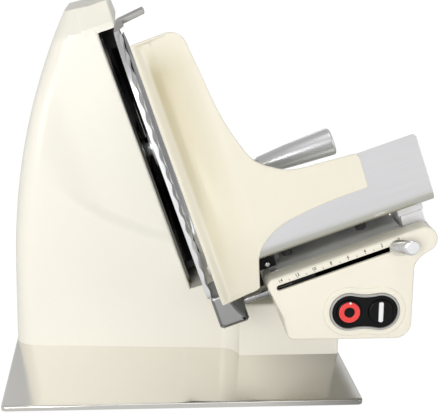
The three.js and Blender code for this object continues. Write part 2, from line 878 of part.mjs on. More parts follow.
// One loop of belt round both pulleys, drawn a clearance and a thickness larger
function beltOutline(grow) {
  const across = motorAxis[1] - bladeAxis[1];
  const rise = motorAxis[2] - bladeAxis[2];
  const apart = Math.hypot(across, rise);
  const line = Math.atan2(rise, across);
  const open = Math.acos((pulleyRadius - motorPulleyRadius) / apart);
  const [, bladeY, bladeZ] = bladeAxis;
  const [, motorY, motorZ] = motorAxis;
  const shape = new THREE.Shape();
  shape.absarc(bladeY, bladeZ, pulleyRadius + grow, line + open, line - open + 2 * Math.PI, false);
  shape.absarc(motorY, motorZ, motorPulleyRadius + grow, line - open, line + open, false);
  return shape;
}
const beltOut = pulleyOut + (pulleyWidth - beltWidth) / 2;
const belt = cutBy(
  swept("x", beltOutline(seatGap + beltThick), beltOut, beltOut + beltWidth, 0, 16),
  swept("x", beltOutline(seatGap), beltOut - overrun, beltOut + beltWidth + overrun, 0, 16),
);
addSloped("drive_belt", belt, blackRubber);

// Motor: a can on an upright bracket with a mast for the tie rod, its shaft and rotor inside
const canHollow = motorRadius - motorWall;
const canProfile = [
  [motorShaftRadius + runGap, motorLeftOut + motorWall],
  [canHollow, motorLeftOut + motorWall],
  [canHollow, motorRightOut - motorWall],
  [motorShaftRadius + runGap, motorRightOut - motorWall],
  [motorShaftRadius + runGap, motorRightOut],
  [motorRadius - motorEdge, motorRightOut],
  [motorRadius, motorRightOut - motorEdge],
  [motorRadius, motorLeftOut + motorEdge],
  [motorRadius - motorEdge, motorLeftOut],
  [motorShaftRadius + runGap, motorLeftOut],
  [motorShaftRadius + runGap, motorLeftOut + motorWall],
];
addSloped("motor_can", turned("x", motorAxis, canProfile, midTurn), motorPaint);

const rotorMiddle = (motorLeftOut + motorRightOut) / 2;
const rotorProfile = [
  [0, motorLeftOut - seatGap],
  [motorShaftRadius, motorLeftOut - seatGap],
  [motorShaftRadius, rotorMiddle - rotorLength / 2],
  [rotorRadius, rotorMiddle - rotorLength / 2],
  [rotorRadius, rotorMiddle + rotorLength / 2],
  [motorShaftRadius, rotorMiddle + rotorLength / 2],
  [motorShaftRadius, motorShaftEndOut],
  [0, motorShaftEndOut],
];
addSloped("motor_rotor", turned("x", motorAxis, rotorProfile, smallTurn), bladeSteel);

const bracketOut = motorRightOut + seatGap;
const bracketOutline = roundedOutline(
  motorDepth - bracketHalfWidth, faceFootUp, motorDepth + bracketHalfWidth, bracketTopUp, faceCorner);
const mastOutline = roundedOutline(
  bladeCentreDepth - mastHalfWidth, motorUp, bladeCentreDepth + mastHalfWidth, bladeCentreUp + mastHalfWidth,
  faceCorner);
const bracket = cutBy(
  joined(
    swept("x", bracketOutline, bracketOut, bracketOut + bracketThick, 0, 3),
    swept("x", mastOutline, bracketOut, bracketOut + bracketThick, 0, 3),
  ),
  pin("x", motorAxis, motorShaftRadius + runGap, bracketOut - overrun, bracketOut + bracketThick + overrun),
  pin("x", bladeAxis, tieRadius + seatGap, bracketOut - overrun, bracketOut + bracketThick + overrun),
  belowLevel(seatGap),
);
addSloped("motor_bracket", bracket, castGrey);

// Tie rod that holds the blade cover through the hollow shaft, headed behind the bracket
const tieProfile = [
  [0, bracketOut - tieHeadThick],
  [tieHeadRadius, bracketOut - tieHeadThick],
  [tieHeadRadius, bracketOut - seatGap],
  [tieRadius, bracketOut - seatGap],
  [tieRadius, bladePlaneOut + coverBackOut - seatGap],
  [0, bladePlaneOut + coverBackOut - seatGap],
];
addSloped("cover_tie_rod", turned("x", bladeAxis, tieProfile, smallTurn), bladeSteel);

// Control housing: the outline shared by the front panel, the shell and the rear block
const slopePoint = (out, up) => {
  const { x, z } = fromSlope(out, up);
  return [x, z];
};
const rodCentre = fromSlope(rodOut, rodUp);
const controlTopUp = noseUp + noseRadius;

function controlOutline(inset, lobe) {
  const topUp = controlTopUp - inset;
  const [noseX, noseZ] = slopePoint(noseOut, noseUp);
  const bend = { x: noseX + flankBendIn + inset, z: flankBendZ };
  const toBend = Math.atan2(bend.z - noseZ, bend.x - noseX);
  const bendReach = Math.hypot(bend.x - noseX, bend.z - noseZ);
  const noseFrom = toBend - Math.acos((noseRadius - inset) / bendReach) + 2 * Math.PI;
  const shape = new THREE.Shape();
  shape.moveTo(...slopePoint(noseOut, topUp));
  if (lobe) {
    const lobeEnd = -Math.PI / 3;
    const endX = rodCentre.x + lobeRadius * Math.cos(lobeEnd);
    const endZ = rodCentre.z + lobeRadius * Math.sin(lobeEnd);
    shape.lineTo(...slopePoint(rodOut, rodUp + lobeRadius));
    shape.absarc(rodCentre.x, rodCentre.z, lobeRadius, Math.PI / 2 + tilt, lobeEnd, true);
    const bendZ = endZ - (endX - panelRight) / Math.tan(Math.PI / 3);
    shape.quadraticCurveTo(panelRight, bendZ, panelRight, panelFlare);
  } else {
    const right = panelRight - inset;
    shape.lineTo(right, (topUp + right * lean.sin) / lean.cos);
  }
  const cornerX = panelRight - panelCorner;
  const cornerZ = panelBottom + panelCorner;
  shape.lineTo(panelRight - inset, cornerZ);
  shape.absarc(cornerX, cornerZ, panelCorner - inset, 0, -Math.PI / 2, true);
  shape.lineTo(noseX + heelIn + inset, panelBottom + inset);
  shape.lineTo(noseX + flankFootIn + inset, flankFootZ + inset);
  shape.lineTo(bend.x, bend.z);
  shape.absarc(noseX, noseZ, noseRadius - inset, noseFrom, Math.PI / 2 + tilt, true);
  return shape;
}

// The slider's slot, the switch's peanut outline and where they stand
function peanutOutline(radius) {
  const grow = radius - switchLobe;
  const pinch = 2 * (switchLobe - switchWaist);
  const waistArc = (switchHalfPitch ** 2 + switchWaist ** 2 - switchLobe ** 2) / pinch;
  const apart = switchWaist + waistArc;
  const meet = Math.PI - Math.atan2(apart, switchHalfPitch);
  const shape = new THREE.Shape();
  shape.absarc(switchX + switchHalfPitch, switchZ, radius, -meet, meet, false);
  shape.absarc(switchX, switchZ + apart, waistArc - grow, meet - Math.PI, -meet, true);
  shape.absarc(switchX - switchHalfPitch, switchZ, radius, Math.PI - meet, Math.PI + meet, false);
  shape.absarc(switchX, switchZ - apart, waistArc - grow, meet, Math.PI - meet, true);
  return shape;
}

const slotLeftOut = sliderOut - sliderTravel - stemHalfWidth - slotHeight;
const slotRightOut = sliderOut + stemHalfWidth + slotHeight / 2;
const slotOutline = roundedOutline(
  slotLeftOut, slotUp - slotHeight / 2, slotRightOut, slotUp + slotHeight / 2, slotHeight / 2 - seatGap);
const bezelOuter = switchLobe + seatGap + bezelWidth;

const panelSweep = swept("y", controlOutline(0, true), 0, panelThick + 2 * panelEdge, panelEdge, 8);
const panelBlock = panelSweep.subtract(
  box([0, baseRight * 2], [panelThick, panelThick + baseDepth], [0, crownLeft]));
const collarOutline = peanutOutline(bezelOuter + seatGap + collarWidth);
const collar = swept("y", collarOutline, -collarReach, panelWall, collarEdge, 6);
const panelCore = swept("y", controlOutline(panelWall, false), panelWall, panelThick + overrun, 0, 6);
const panelHollow = panelCore.subtract(
  sloped(box([rodOut - rodRelief - panelWall, rodOut * 2], [0, baseDepth], [0, rodOut])));
const rodAxis = [rodOut, 0, rodUp];
const rodHole = rodRadius + seatGap;
const rodSocket = sloped(
  pin("y", rodAxis, rodHole, panelThick - rodSocketDepth, panelThick + overrun));
const panel = cutBy(
  joined(panelBlock, collar),
  panelHollow,
  rodSocket,
  sloped(swept("y", slotOutline, -overrun, panelWall + overrun, 0, 4)),
  swept("y", peanutOutline(bezelOuter + seatGap), -2 * overrun, panelWall + overrun, 0, 6),
);
addUpright("front_panel", panel, creamSatin);

// Shell behind the panel, cleared round the guide rod, with two posts inside that guide the cam plate and a
// solid rear block that holds the rod's far end
const shellFront = panelThick + seatGap;
const rearBlockFront = controlBack - rearBlockDepth;
const shellTopDrop = topPlateThick + seatGap;
const clearOfArm = (extra) => joined(
  pin("y", rodAxis, rodRelief + extra, 0, rearBlockFront, midTurn),
  box([rodOut - rodRelief - extra, rodOut * 2], [0, rearBlockFront], [rodUp, crownLeft]),
);
const shellOuter = cutBy(
  swept("y", controlOutline(0, false), shellFront, rearBlockFront + seatGap, 0, 6),
  sloped(clearOfArm(0)),
  sloped(box([0, rodOut * 2], [0, rearBlockFront], [controlTopUp - shellTopDrop, crownLeft])),
);
const shellHollow = cutBy(
  swept("y", controlOutline(controlWall, false), 0, rearBlockFront - controlWall, 0, 4),
  sloped(clearOfArm(controlWall)),
  sloped(box([0, rodOut * 2], [0, rearBlockFront], [controlTopUp - shellTopDrop - controlWall, crownLeft])),
);
const rearBlock = swept("y", controlOutline(0, true), rearBlockFront, controlBack, panelEdge, 6);
const rearSocket = sloped(
  pin("y", rodAxis, rodHole, rearBlockFront - overrun, rearBlockFront + rodSocketDepth));
const gaugeRodAxis = [0, gaugeRodDepth, gaugeRodUp];
const gaugeRodHole = gaugeRodRadius + seatGap;
const bushHole = sloped(
  pin("x", gaugeRodAxis, gaugeRodHole + bushWall, noseOut - noseRadius - overrun, noseOut + overrun));
const camPostUp = controlTopUp - shellTopDrop - controlWall;
const pinLeftOut = sliderOut - sliderTravel - pinOffset;
const pinRightOut = sliderOut - pinOffset;
const camPostOuts = camPostShares.map((share) => mix(pinLeftOut, pinRightOut, share));
const camPostProfile = [
  [0, camLowUp - seatGap - camPostHeadThick],
  [camPostHead, camLowUp - seatGap - camPostHeadThick],
  [camPostHead, camLowUp - seatGap],
  [camPostRadius, camLowUp - seatGap],
  [camPostRadius, camPostUp + seatGap],
  [0, camPostUp + seatGap],
];
const camPosts = camPostOuts.map((out) =>
  sloped(turned("z", [out, camPostDepth, 0], camPostProfile, tinyTurn)));
const shell = cutBy(
  joined(shellOuter.subtract(shellHollow), rearBlock, ...camPosts),
  rearSocket,
  bushHole,
);
addUpright("control_housing", shell, cream);

const topPlate = box(
  [noseOut, rodOut - rodRelief - seatGap], [shellFront, rearBlockFront - seatGap],
  [controlTopUp - topPlateThick, controlTopUp]);
addSloped("housing_top_plate", topPlate, polished);

const rodFrom = panelThick - rodSocketDepth + seatGap;
const rodTo = rearBlockFront + rodSocketDepth - seatGap;
addSloped("carriage_rod", pin("y", rodAxis, rodRadius, rodFrom, rodTo), bladeSteel);

// Scale strip over the slot
const scaleOutline = roundedOutline(slotLeftOut, scaleLowUp, sliderOut, scaleHighUp, 1.5 * seatGap);
addSloped("scale_strip", swept("y", scaleOutline, -scaleThick - seatGap, -seatGap, 0, 3), creamSatin);

// Switch: bezel, face plate, two buttons with their marks, and the switch box behind
const bezel = cutBy(
  swept("y", peanutOutline(bezelOuter), -collarReach - bezelReach, panelWall, 0, 6),
  swept("y", peanutOutline(switchLobe + seatGap), -2 * overrun, panelWall + overrun, 0, 6),
);
addUpright("switch_bezel", bezel, greyPlastic);

const buttonX = { off: switchX - switchHalfPitch, on: switchX + switchHalfPitch };
const faceFront = -collarReach;
const buttonHoles = Object.values(buttonX).map((x) =>
  pin("y", [x, 0, switchZ], buttonRadius + seatGap, -2 * overrun, switchPlateThick + overrun));
const switchPlate = cutBy(
  swept("y", peanutOutline(switchLobe), faceFront, faceFront + switchPlateThick, 0, 6), ...buttonHoles);
addUpright("switch_plate", switchPlate, blackPlastic);

const buttonFront = faceFront - buttonReach;
for (const [name, x] of Object.entries(buttonX)) {
  const profile = [
    [0, buttonFront],
    [buttonRadius - seatGap, buttonFront],
    [buttonRadius, buttonFront + seatGap],
    [buttonRadius, buttonDepth],
    [0, buttonDepth],
  ];
  addUpright(`${name}_button`, turned("y", [x, 0, switchZ], profile, smallTurn), blackPlastic);
}
const markBack = buttonFront - seatGap;
const markFront = markBack - markThick;
addUpright("off_ring",
  pipe("y", [buttonX.off, 0, switchZ], offRingOuter, offRingInner, markFront, markBack), switchRed);
const barHalf = { x: onBarWidth / 2, z: onBarHeight / 2 };
const barOutline = roundedOutline(
  buttonX.on - barHalf.x, switchZ - barHalf.z, buttonX.on + barHalf.x, switchZ + barHalf.z, barHalf.x / 2);
addUpright("on_bar", swept("y", barOutline, markFront, markBack, 0, 3), switchWhite);

const switchBack = faceFront + switchPlateThick + seatGap;
const wells = Object.values(buttonX).map((x) =>
  pin("y", [x, 0, switchZ], buttonRadius + seatGap, -overrun, buttonDepth + buttonTravel + runGap));
const switchBox = cutBy(
  joined(
    swept("y", peanutOutline(switchLobe), switchBack, switchBack + switchNeck, 0, 6),
    box([switchX - switchBoxHalfWidth, switchX + switchBoxHalfWidth],
      [panelWall + seatGap, switchBack + switchBoxDepth],
      [switchZ - switchBoxHalfHeight, switchZ + switchBoxHalfHeight]),
  ),
  ...wells,
);
addUpright("switch_body", switchBox, blackPlastic);

const relayLow = panelBottom + controlWall + seatGap;
const relayOutline = roundedOutline(
  relayX - relayWidth / 2, relayLow, relayX + relayWidth / 2, relayLow + relayHeight, relayEdge);
addUpright("relay_box", swept("y", relayOutline, relayFront, relayFront + relayDepth, 0, 3), boardGreen);

// Slider: stem through the slot, shoe behind the panel, tongue and pin down into the cam plate
const stemFront = -knobLift;
const camTopUp = camLowUp + camThick;
const pinAt = [sliderOut - pinOffset, pinDepth, 0];
const slider = joined(
  box([sliderOut - stemHalfWidth, sliderOut + stemHalfWidth], [stemFront, panelWall + 2 * runGap],
    [slotUp - stemHalfHeight, slotUp + stemHalfHeight]),
  box([sliderOut - pinOffset - tongueHalfWidth, sliderOut - pinOffset + tongueHalfWidth],
    [panelWall + runGap, pinDepth + tongueHalfWidth], [shoeLowUp, shoeHighUp]),
  box([sliderOut - shoeHalfWidth, sliderOut + shoeRightReach], [panelWall + runGap, panelWall + shoeThick],
    [shoeLowUp, shoeHighUp]),
  pin("z", pinAt, pinRadius, camLowUp - runGap, shoeLowUp + runGap, tinyTurn),
);
addSloped("thickness_slider", slider, blackPlastic);

const knobBack = stemFront - seatGap;
const knobStub = (offset, radius, reach) => turned("y", [sliderOut + offset, 0, slotUp], [
  [0, knobBack],
  [radius, knobBack],
  [radius, knobBack - reach + knobEdge],
  [radius - knobEdge / 2, knobBack - reach + knobEdge / 2],
  [radius - knobEdge, knobBack - reach],
  [0, knobBack - reach],
], smallTurn);
const bridgeHalf = knobFaceRadius - knobEdge / 2;
const knobBridge = box(
  [sliderOut - knobBossOffset, sliderOut + knobFaceOffset], [knobBack - knobBossReach + knobEdge, knobBack],
  [slotUp - bridgeHalf, slotUp + bridgeHalf]);
const knob = joined(
  knobStub(-knobBossOffset, knobBossRadius, knobBossReach),
  knobBridge,
  knobStub(knobFaceOffset, knobFaceRadius, knobFaceReach),
);
addSloped("thickness_knob", knob, polished);

// Cam plate: a long slanted slot for the slider's pin, a short steep one for the thickness plate's pin,
// and two straight ones for its guide posts
function slantedSlot(fromOut, fromDepth, toOut, toDepth, radius) {
  const along = Math.hypot(toOut - fromOut, toDepth - fromDepth);
  const outline = roundedOutline(-radius, -radius, along + radius, radius, radius - weldDistance);
  const depth = camThick + 2 * overrun;
  const geometry = new THREE.ExtrudeGeometry(outline, { depth, bevelEnabled: false, curveSegments: 4 });
  geometry.rotateZ(Math.atan2(toDepth - fromDepth, toOut - fromOut));
  geometry.translate(fromOut, fromDepth, camLowUp - overrun);
  return solidFrom(geometry);
}
const camSlotRadius = pinRadius + camRunGap;
const camLeftOut = pinLeftOut - camSlotRadius - camMargin;
const camRightOut = pinRightOut + camSlotRadius + camMargin;
const gaugePinEndOut = gaugePinOut - gaugeTravel;
const camPlate = cutBy(
  box([camLeftOut, camRightOut], [camFront, camBack], [camLowUp, camTopUp]),
  slantedSlot(pinRightOut, pinDepth, pinLeftOut, pinDepth - camTravel, camSlotRadius),
  slantedSlot(gaugePinOut, gaugePinDepth, gaugePinEndOut, gaugePinDepth - camTravel, camSlotRadius),
  ...camPostOuts.map((out) =>
    slantedSlot(out, camPostDepth, out, camPostDepth - camTravel, camPostRadius + camRunGap)),
);
addSloped("cam_plate", camPlate, bladeSteel);

// Thickness plate: ribbed on the food side, swept back at the top, hollowed round the blade
function gaugeOutline() {
  const shape = new THREE.Shape();
  shape.moveTo(gaugeFront + sidePlateCorner, gaugeLowUp);
  shape.quadraticCurveTo(gaugeFront, gaugeLowUp, gaugeFront, gaugeLowUp + sidePlateCorner);
  shape.lineTo(gaugeFront, gaugeSweepUp);
  shape.absellipse(gaugeTopFront, gaugeSweepUp, gaugeTopFront - gaugeFront, gaugeTopUp - gaugeSweepUp,
    Math.PI, Math.PI / 2, true, 0);
  shape.lineTo(gaugeTopBack, gaugeTopUp);
  shape.lineTo(gaugeTopBack, gaugeShoulderUp);
  shape.lineTo(gaugeBack, gaugeShoulderUp);
  shape.lineTo(gaugeBack, gaugeLowUp);
  return shape;
}

const gaugeLeftOut = bladePlaneOut - gaugeThick;

function ribbedProfile() {
  const ribs = Math.floor((gaugeTopUp - gaugeLowUp) / ribPitch);
  const top = gaugeLowUp + ribs * ribPitch;
  const points = [[gaugeLeftOut, gaugeLowUp - overrun], [bladePlaneOut - ribDepth, gaugeLowUp - overrun]];
  for (let i = 0; i <= ribs * ribSteps; i += 1) {
    const wave = (1 - Math.cos((2 * Math.PI * i) / ribSteps)) / 2;
    points.push([bladePlaneOut - ribDepth * (1 - wave), gaugeLowUp + (i / ribSteps) * ribPitch]);
  }
  points.push([bladePlaneOut - ribDepth, Math.max(top, gaugeTopUp) + overrun]);
  points.push([gaugeLeftOut, Math.max(top, gaugeTopUp) + overrun]);
  return polygon(points);
}
const lipOutline = polygon([
  [gaugeLeftOut, gaugeTopUp - lipRootUp],
  [bladePlaneOut - ribDepth, gaugeTopUp - lipRootUp],
  [bladePlaneOut + lipThick / 2, gaugeTopUp - lipThick],
  [lipReachOut, gaugeTopUp + lipRiseUp - lipThick],
  [lipReachOut, gaugeTopUp + lipRiseUp],
  [gaugeLeftOut + lipThick / 2, gaugeTopUp],
  [gaugeLeftOut, gaugeTopUp - lipThick / 2],
]);
const gaugeSheet = swept("x", gaugeOutline(), gaugeLeftOut, bladePlaneOut + overrun, 0, 14);
const gaugeHollowRadius = bladeRadius + gaugeBladeGap;
const gaugePlate = cutBy(
  joined(
    swept("y", ribbedProfile(), 0, gaugeBack + overrun).intersect(gaugeSheet),
    swept("y", lipOutline, gaugeTopFront, gaugeTopBack, lipEdge),
  ),
  pin("x", bladeAxis, gaugeHollowRadius, gaugeLeftOut - overrun, bladePlaneOut + overrun, gaugeHollowTurn),
);
addSloped("thickness_plate", gaugePlate, satinAluminium);

// Cast block at the plate's foot, scooped at its front, on the rod that runs into the control housing
const carrierOutline = polygon([
  [carrierLeftOut, carrierLowUp],
  [carrierRightOut, carrierLowUp],
  [carrierRightOut, carrierHighUp],
  [carrierLeftOut, carrierHighUp],
]);
const scoopCentreDepth = carrierFront - Math.sqrt(scoopBall ** 2 - scoopRadius ** 2);
const scoopProfile = Array.from({ length: scoopSteps + 1 }, (_, i) => {
  const radius = (scoopRadius + overrun) * (i / scoopSteps);
  return [radius, scoopCentreDepth + Math.sqrt(scoopBall ** 2 - radius ** 2)];
}).reverse();
const scoop = turned("y", [carrierRightOut + scoopRight, 0, carrierHighUp],
  [[0, 0], [scoopRadius + overrun, 0], ...scoopProfile], fineTurn);
const carrierBlock = cutBy(
  swept("y", carrierOutline, carrierFront, carrierBack, carrierEdge),
  scoop,
  pin("x", gaugeRodAxis, gaugeRodHole, carrierRightOut - gaugeRodSocket, carrierRightOut + overrun),
);
addSloped("plate_carrier", carrierBlock, castGrey);

const crossRightOut = crossLeftOut + crossWidth;
const gaugeRodFrom = carrierRightOut - gaugeRodSocket + seatGap;
const gaugeRodTo = crossRightOut - gaugeRodSocket;
addSloped("plate_rod", pin("x", gaugeRodAxis, gaugeRodRadius, gaugeRodFrom, gaugeRodTo), bladeSteel);

const bushOut = noseOut - noseRadius + bushWall + 2 * runGap;
const bushBore = gaugeRodRadius + spinGap;
const bushProfile = [
  [bushBore, bushOut - bushLength / 2],
  [gaugeRodRadius + bushWall, bushOut - bushLength / 2],
  [gaugeRodRadius + bushWall, bushOut + bushLength / 2],
  [bushBore, bushOut + bushLength / 2],
  [bushBore, bushOut - bushLength / 2],
];
addSloped("plate_rod_bush", turned("x", gaugeRodAxis, bushProfile, smallTurn), bronze);

const crosshead = cutBy(
  joined(
    box([crossLeftOut, crossRightOut], [crossFront, crossBack], [crossLowUp, camLowUp - runGap]),
    pin("z", [gaugePinOut, gaugePinDepth, 0], pinRadius, camLowUp - 2 * runGap, camTopUp, tinyTurn),
  ),
  pin("x", gaugeRodAxis, gaugeRodHole, crossLeftOut - overrun, gaugeRodTo + seatGap),
);
addSloped("plate_crosshead", crosshead, castGrey);

// Tray: one bent sheet with a tall front wall, a rounded bend and a low rear upstand
function trayOutline() {
  const inner = trayWall;
  const shape = new THREE.Shape();
  const front = trayFrontDepth;
  shape.moveTo(front, trayTopUp);
  shape.lineTo(front, trayBendUp);
  shape.quadraticCurveTo(front + inner / 2, trayUnderUp, front + trayBendDepth, trayUnderUp);
  shape.lineTo(trayBackDepth - inner, trayUnderUp);
  shape.quadraticCurveTo(trayBackDepth, trayUnderUp, trayBackDepth, trayUnderUp + inner);
  shape.lineTo(trayBackDepth, trayRearUp);
  shape.lineTo(trayBackDepth - inner, trayRearUp);
  shape.lineTo(trayBackDepth - inner, trayUnderUp + inner);
  shape.lineTo(front + trayBendDepth, trayUnderUp + inner);
  shape.quadraticCurveTo(
    front + inner * trayBendShare, trayUnderUp + inner, front + inner, trayBendUp + inner / 2);
  shape.lineTo(front + inner, trayTopUp);
  return shape;
}
const guardBay = box(
  [trayLeftOut - overrun, guardScoopOut + guardScoopWidth + runGap],
  [-overrun, trayFrontDepth + trayWall + runGap], [trayBendUp + bayLift, trayTopUp + overrun]);
const tray = swept("x", trayOutline(), trayLeftOut, trayRightOut, trayEdge, 6).subtract(guardBay);
addSloped("tray", tray, satinAluminium);

const trayFloorUp = trayUnderUp - seatGap;
for (const [side, out] of Object.entries({ left: padLeftOut, right: padRightOut })) {
  addSloped(`tray_pad_${side}`,
    pin("z", [out, padDepth, 0], padRadius, trayFloorUp - padHeight, trayFloorUp, tinyTurn), blackRubber);
}

// Hand guard: the outline seen from the front, cut from a sheet that dips into a scoop beside a raised lip
const guardCurveShares = {
  start: [0, 0],
  foot: [0.1709, 0],
  footEnd: [0.2405, 0.0202],
  flankLow: [0.2753, 0.0972],
  flankTurn: [0.2943, 0.1417],
  flankHigh: [0.3481, 0.166],
  sweepTurn: [0.4367, 0.2146],
  sweepLow: [0.5949, 0.2227],
  tailTurn: [0.7342, 0.2348],
  tailLow: [0.8608, 0.2348],
  tailEnd: [0.9968, 0.2348],
  tailTop: [1, 0.332],
  tailRound: [0.9747, 0.3696],
  saddle: [0.6899, 0.3834],
  saddleTurn: [0.5949, 0.3874],
  saddleIn: [0.5253, 0.4211],
  neckTurn: [0.4222, 0.4575],
  neck: [0.3968, 0.5263],
  neckHighTurn: [0.3481, 0.6154],
  neckHigh: [0.3291, 0.7206],
  corner: [0.288, 0.9717],
  top: [0.2532, 1],
};
const guardPoint = ([across, up]) => [guardLipOut + across * guardWidth, guardLowUp + up * guardHeight];

function guardOutline() {
  const places = Object.entries(guardCurveShares).map(([name, share]) => [name, guardPoint(share)]);
  const at = Object.fromEntries(places);
  const shape = new THREE.Shape();
  shape.moveTo(...at.start);
  shape.lineTo(...at.foot);
  shape.quadraticCurveTo(at.footEnd[0], at.foot[1], ...at.footEnd);
  shape.lineTo(...at.flankLow);
  shape.quadraticCurveTo(...at.flankTurn, ...at.flankHigh);
  shape.quadraticCurveTo(...at.sweepTurn, ...at.sweepLow);
  shape.quadraticCurveTo(...at.tailTurn, ...at.tailLow);
  shape.lineTo(...at.tailEnd);
  shape.lineTo(...at.tailTop);
  shape.quadraticCurveTo(at.tailTop[0], at.tailRound[1], ...at.tailRound);
  shape.lineTo(...at.saddle);
  shape.quadraticCurveTo(...at.saddleTurn, ...at.saddleIn);
  shape.quadraticCurveTo(...at.neckTurn, ...at.neck);
  shape.quadraticCurveTo(...at.neckHighTurn, ...at.neckHigh);
  shape.lineTo(...at.corner);
  shape.quadraticCurveTo(at.corner[0], at.top[1], ...at.top);
  shape.lineTo(at.start[0], at.top[1]);
  return shape;
}

function guardFront(out, up) {
  const lip = smooth(1 - (out - guardLipOut) / guardLipWidth);
  const dip = Math.max(0, 1 - Math.abs(out - guardScoopOut) / guardScoopWidth);
  const height = smooth((up - guardScoopLowUp) / (guardScoopHighUp - guardScoopLowUp));
  return -guardThick - guardLipReach * lip + guardScoopDepth * smooth(dip) * height * (1 - lip);
}

const guardSheetShares = [0, 0.045, 0.07, 0.095, 0.12, 0.145, 0.18, 0.22, 0.27, 0.33, 0.6, 1];

function guardSheet() {
  const left = guardLipOut - overrun;
  const right = guardLipOut + guardWidth + overrun;
  const low = guardLowUp - overrun;
  const high = guardLowUp + guardHeight + overrun;
  const outs = guardSheetShares.map((share) => mix(left, right, share));
  const steps = 12;
  const loops = outs.map((out) => {
    const ups = Array.from({ length: steps + 1 }, (_, i) => mix(low, high, i / steps));
    const front = ups.map((up) => new THREE.Vector3(out, guardFront(out, up), up));
    const back = ups.toReversed().map((up) => new THREE.Vector3(out, guardFront(out, up) + guardThick, up));
    return [...front, ...back];
  });
  return lofted(loops);
}
const guard = guardSheet().intersect(swept("y", guardOutline(), -3 * overrun, 4 * overrun, 0, 8));
addSloped("hand_guard", guard, cream);

// Carriage arm on the guide rod, its two bushes, and the bar that ties it to the roller under the tray
const armBackDepth = armFrontDepth + armLength;
const armBore = rodBushRadius + seatGap;
const arm = cutBy(
  joined(
    pin("y", rodAxis, armHubRadius, armFrontDepth, armBackDepth, midTurn),
    box([rodOut - armHalfWidth, rodOut + armHalfWidth], [armFrontDepth, armBackDepth], [rodUp, armTopUp]),
  ),
  pin("y", rodAxis, armBore, armFrontDepth - overrun, armBackDepth + overrun, midTurn),
);
addSloped("carriage_arm", arm, satinAluminium);
const rodBushAt = (from, to) => pipe("y", rodAxis, rodBushRadius, rodRadius + spinGap, from, to, smallTurn);
addSloped("front_rod_bush",
  rodBushAt(armFrontDepth - rodBushProud, armFrontDepth + rodBushLength), blackPlastic);
addSloped("rear_rod_bush",
  rodBushAt(armBackDepth - rodBushLength, armBackDepth + rodBushProud), blackPlastic);

const rollerUp = controlTopUp + seatGap + rollerRadius;
const rollerLeft = rollerOut - rollerWidth / 2;
const rollerRight = rollerOut + rollerWidth / 2;
const barTopUp = trayUnderUp - seatGap;
const cheek = (from, to) => box(
  [from, to], [rollerDepth - cheekHalfDepth, rollerDepth + cheekHalfDepth], [cheekLowUp, barTopUp]);
const cheekLeft = rollerLeft - runGap - cheekThick;
const cheekRight = rollerRight + runGap + cheekThick;
const rollerAxis = [0, rollerDepth, rollerUp];
const rollerRoom = rollerRadius + runGap;
const barPad = [rodOut - barPadHalfWidth, rodOut + barPadHalfWidth];
const crossBar = cutBy(
  joined(
    box([rollerOut - barLeftReach, barRightOut], [barFront, barBack], [barLowUp, barTopUp]),
    box(barPad, [armFrontDepth, barBack], [barLowUp, barTopUp]),
    cheek(cheekLeft, rollerLeft - runGap),
    cheek(rollerRight + runGap, cheekRight),
  ),
  box(
    [rollerLeft - runGap, rollerRight + runGap], [rollerDepth - rollerRoom, rollerDepth + rollerRoom],
    [barLowUp - overrun, rollerUp + rollerRoom]),
  pin("x", rollerAxis, axleRadius + turnGap, cheekLeft - overrun, cheekRight + overrun, tinyTurn),
);
addSloped("cross_bar", crossBar, satinAluminium);
const rollerProfile = [
  [0, cheekLeft],
  [axleRadius, cheekLeft],
  [axleRadius, rollerLeft],
  [rollerRadius, rollerLeft],
  [rollerRadius, rollerRight],
  [axleRadius, rollerRight],
  [axleRadius, cheekRight],
  [0, cheekRight],
];
addSloped("roller", turned("x", rollerAxis, rollerProfile, smallTurn), blackPlastic);

const hookOutline = polygon([
  [hookOut, hookLowUp],
  [hookOut + hookWidth, hookLowUp],
  [hookOut + hookWidth, hookUnderUp],
  [hookReachOut, hookUnderUp],
  [hookReachOut, hookTopUp],
  [hookOut + 2 * hookWidth, barTopUp],
  [hookOut, barTopUp],
]);
addSloped("lift_stop", swept("y", hookOutline, hookFront, hookFront + hookDepth, hookEdge), blackPlastic);

// Pusher: rod behind the tray, sleeve, arm over the tray, toothed plate and handle
const pushRodAxis = [0, pushRodDepth, pushRodUp];
addSloped("pusher_rod", pin("x", pushRodAxis, pushRodRadius, pushRodLeftOut, pushRodRightOut), bladeSteel);

const bracketArm = polygon([
  [trayBackDepth + seatGap, trayUnderUp],
  [pushRodDepth, pushRodUp - pushBracketRadius],
  [pushRodDepth, pushRodUp + pushBracketRadius],
  [trayBackDepth + seatGap, trayRearUp],
]);
for (const [side, out] of Object.entries({ left: pushBracketLeftOut, right: pushBracketRightOut })) {
  const ear = cutBy(
    joined(
      pin("x", pushRodAxis, pushBracketRadius, out, out + pushBracketThick),
      swept("x", bracketArm, out, out + pushBracketThick),
    ),
    pin("x", pushRodAxis, pushRodRadius + seatGap, out - overrun, out + pushBracketThick + overrun),
  );
  addSloped(`pusher_bracket_${side}`, ear, satinAluminium);
}

const sleeveRight = sleeveLeftOut + sleeveLength;
const sleeveBore = pushRodRadius + turnGap;
addSloped("pusher_sleeve",
  pipe("x", pushRodAxis, sleeveRadius, sleeveBore, sleeveLeftOut, sleeveRight, smallTurn), satinAluminium);

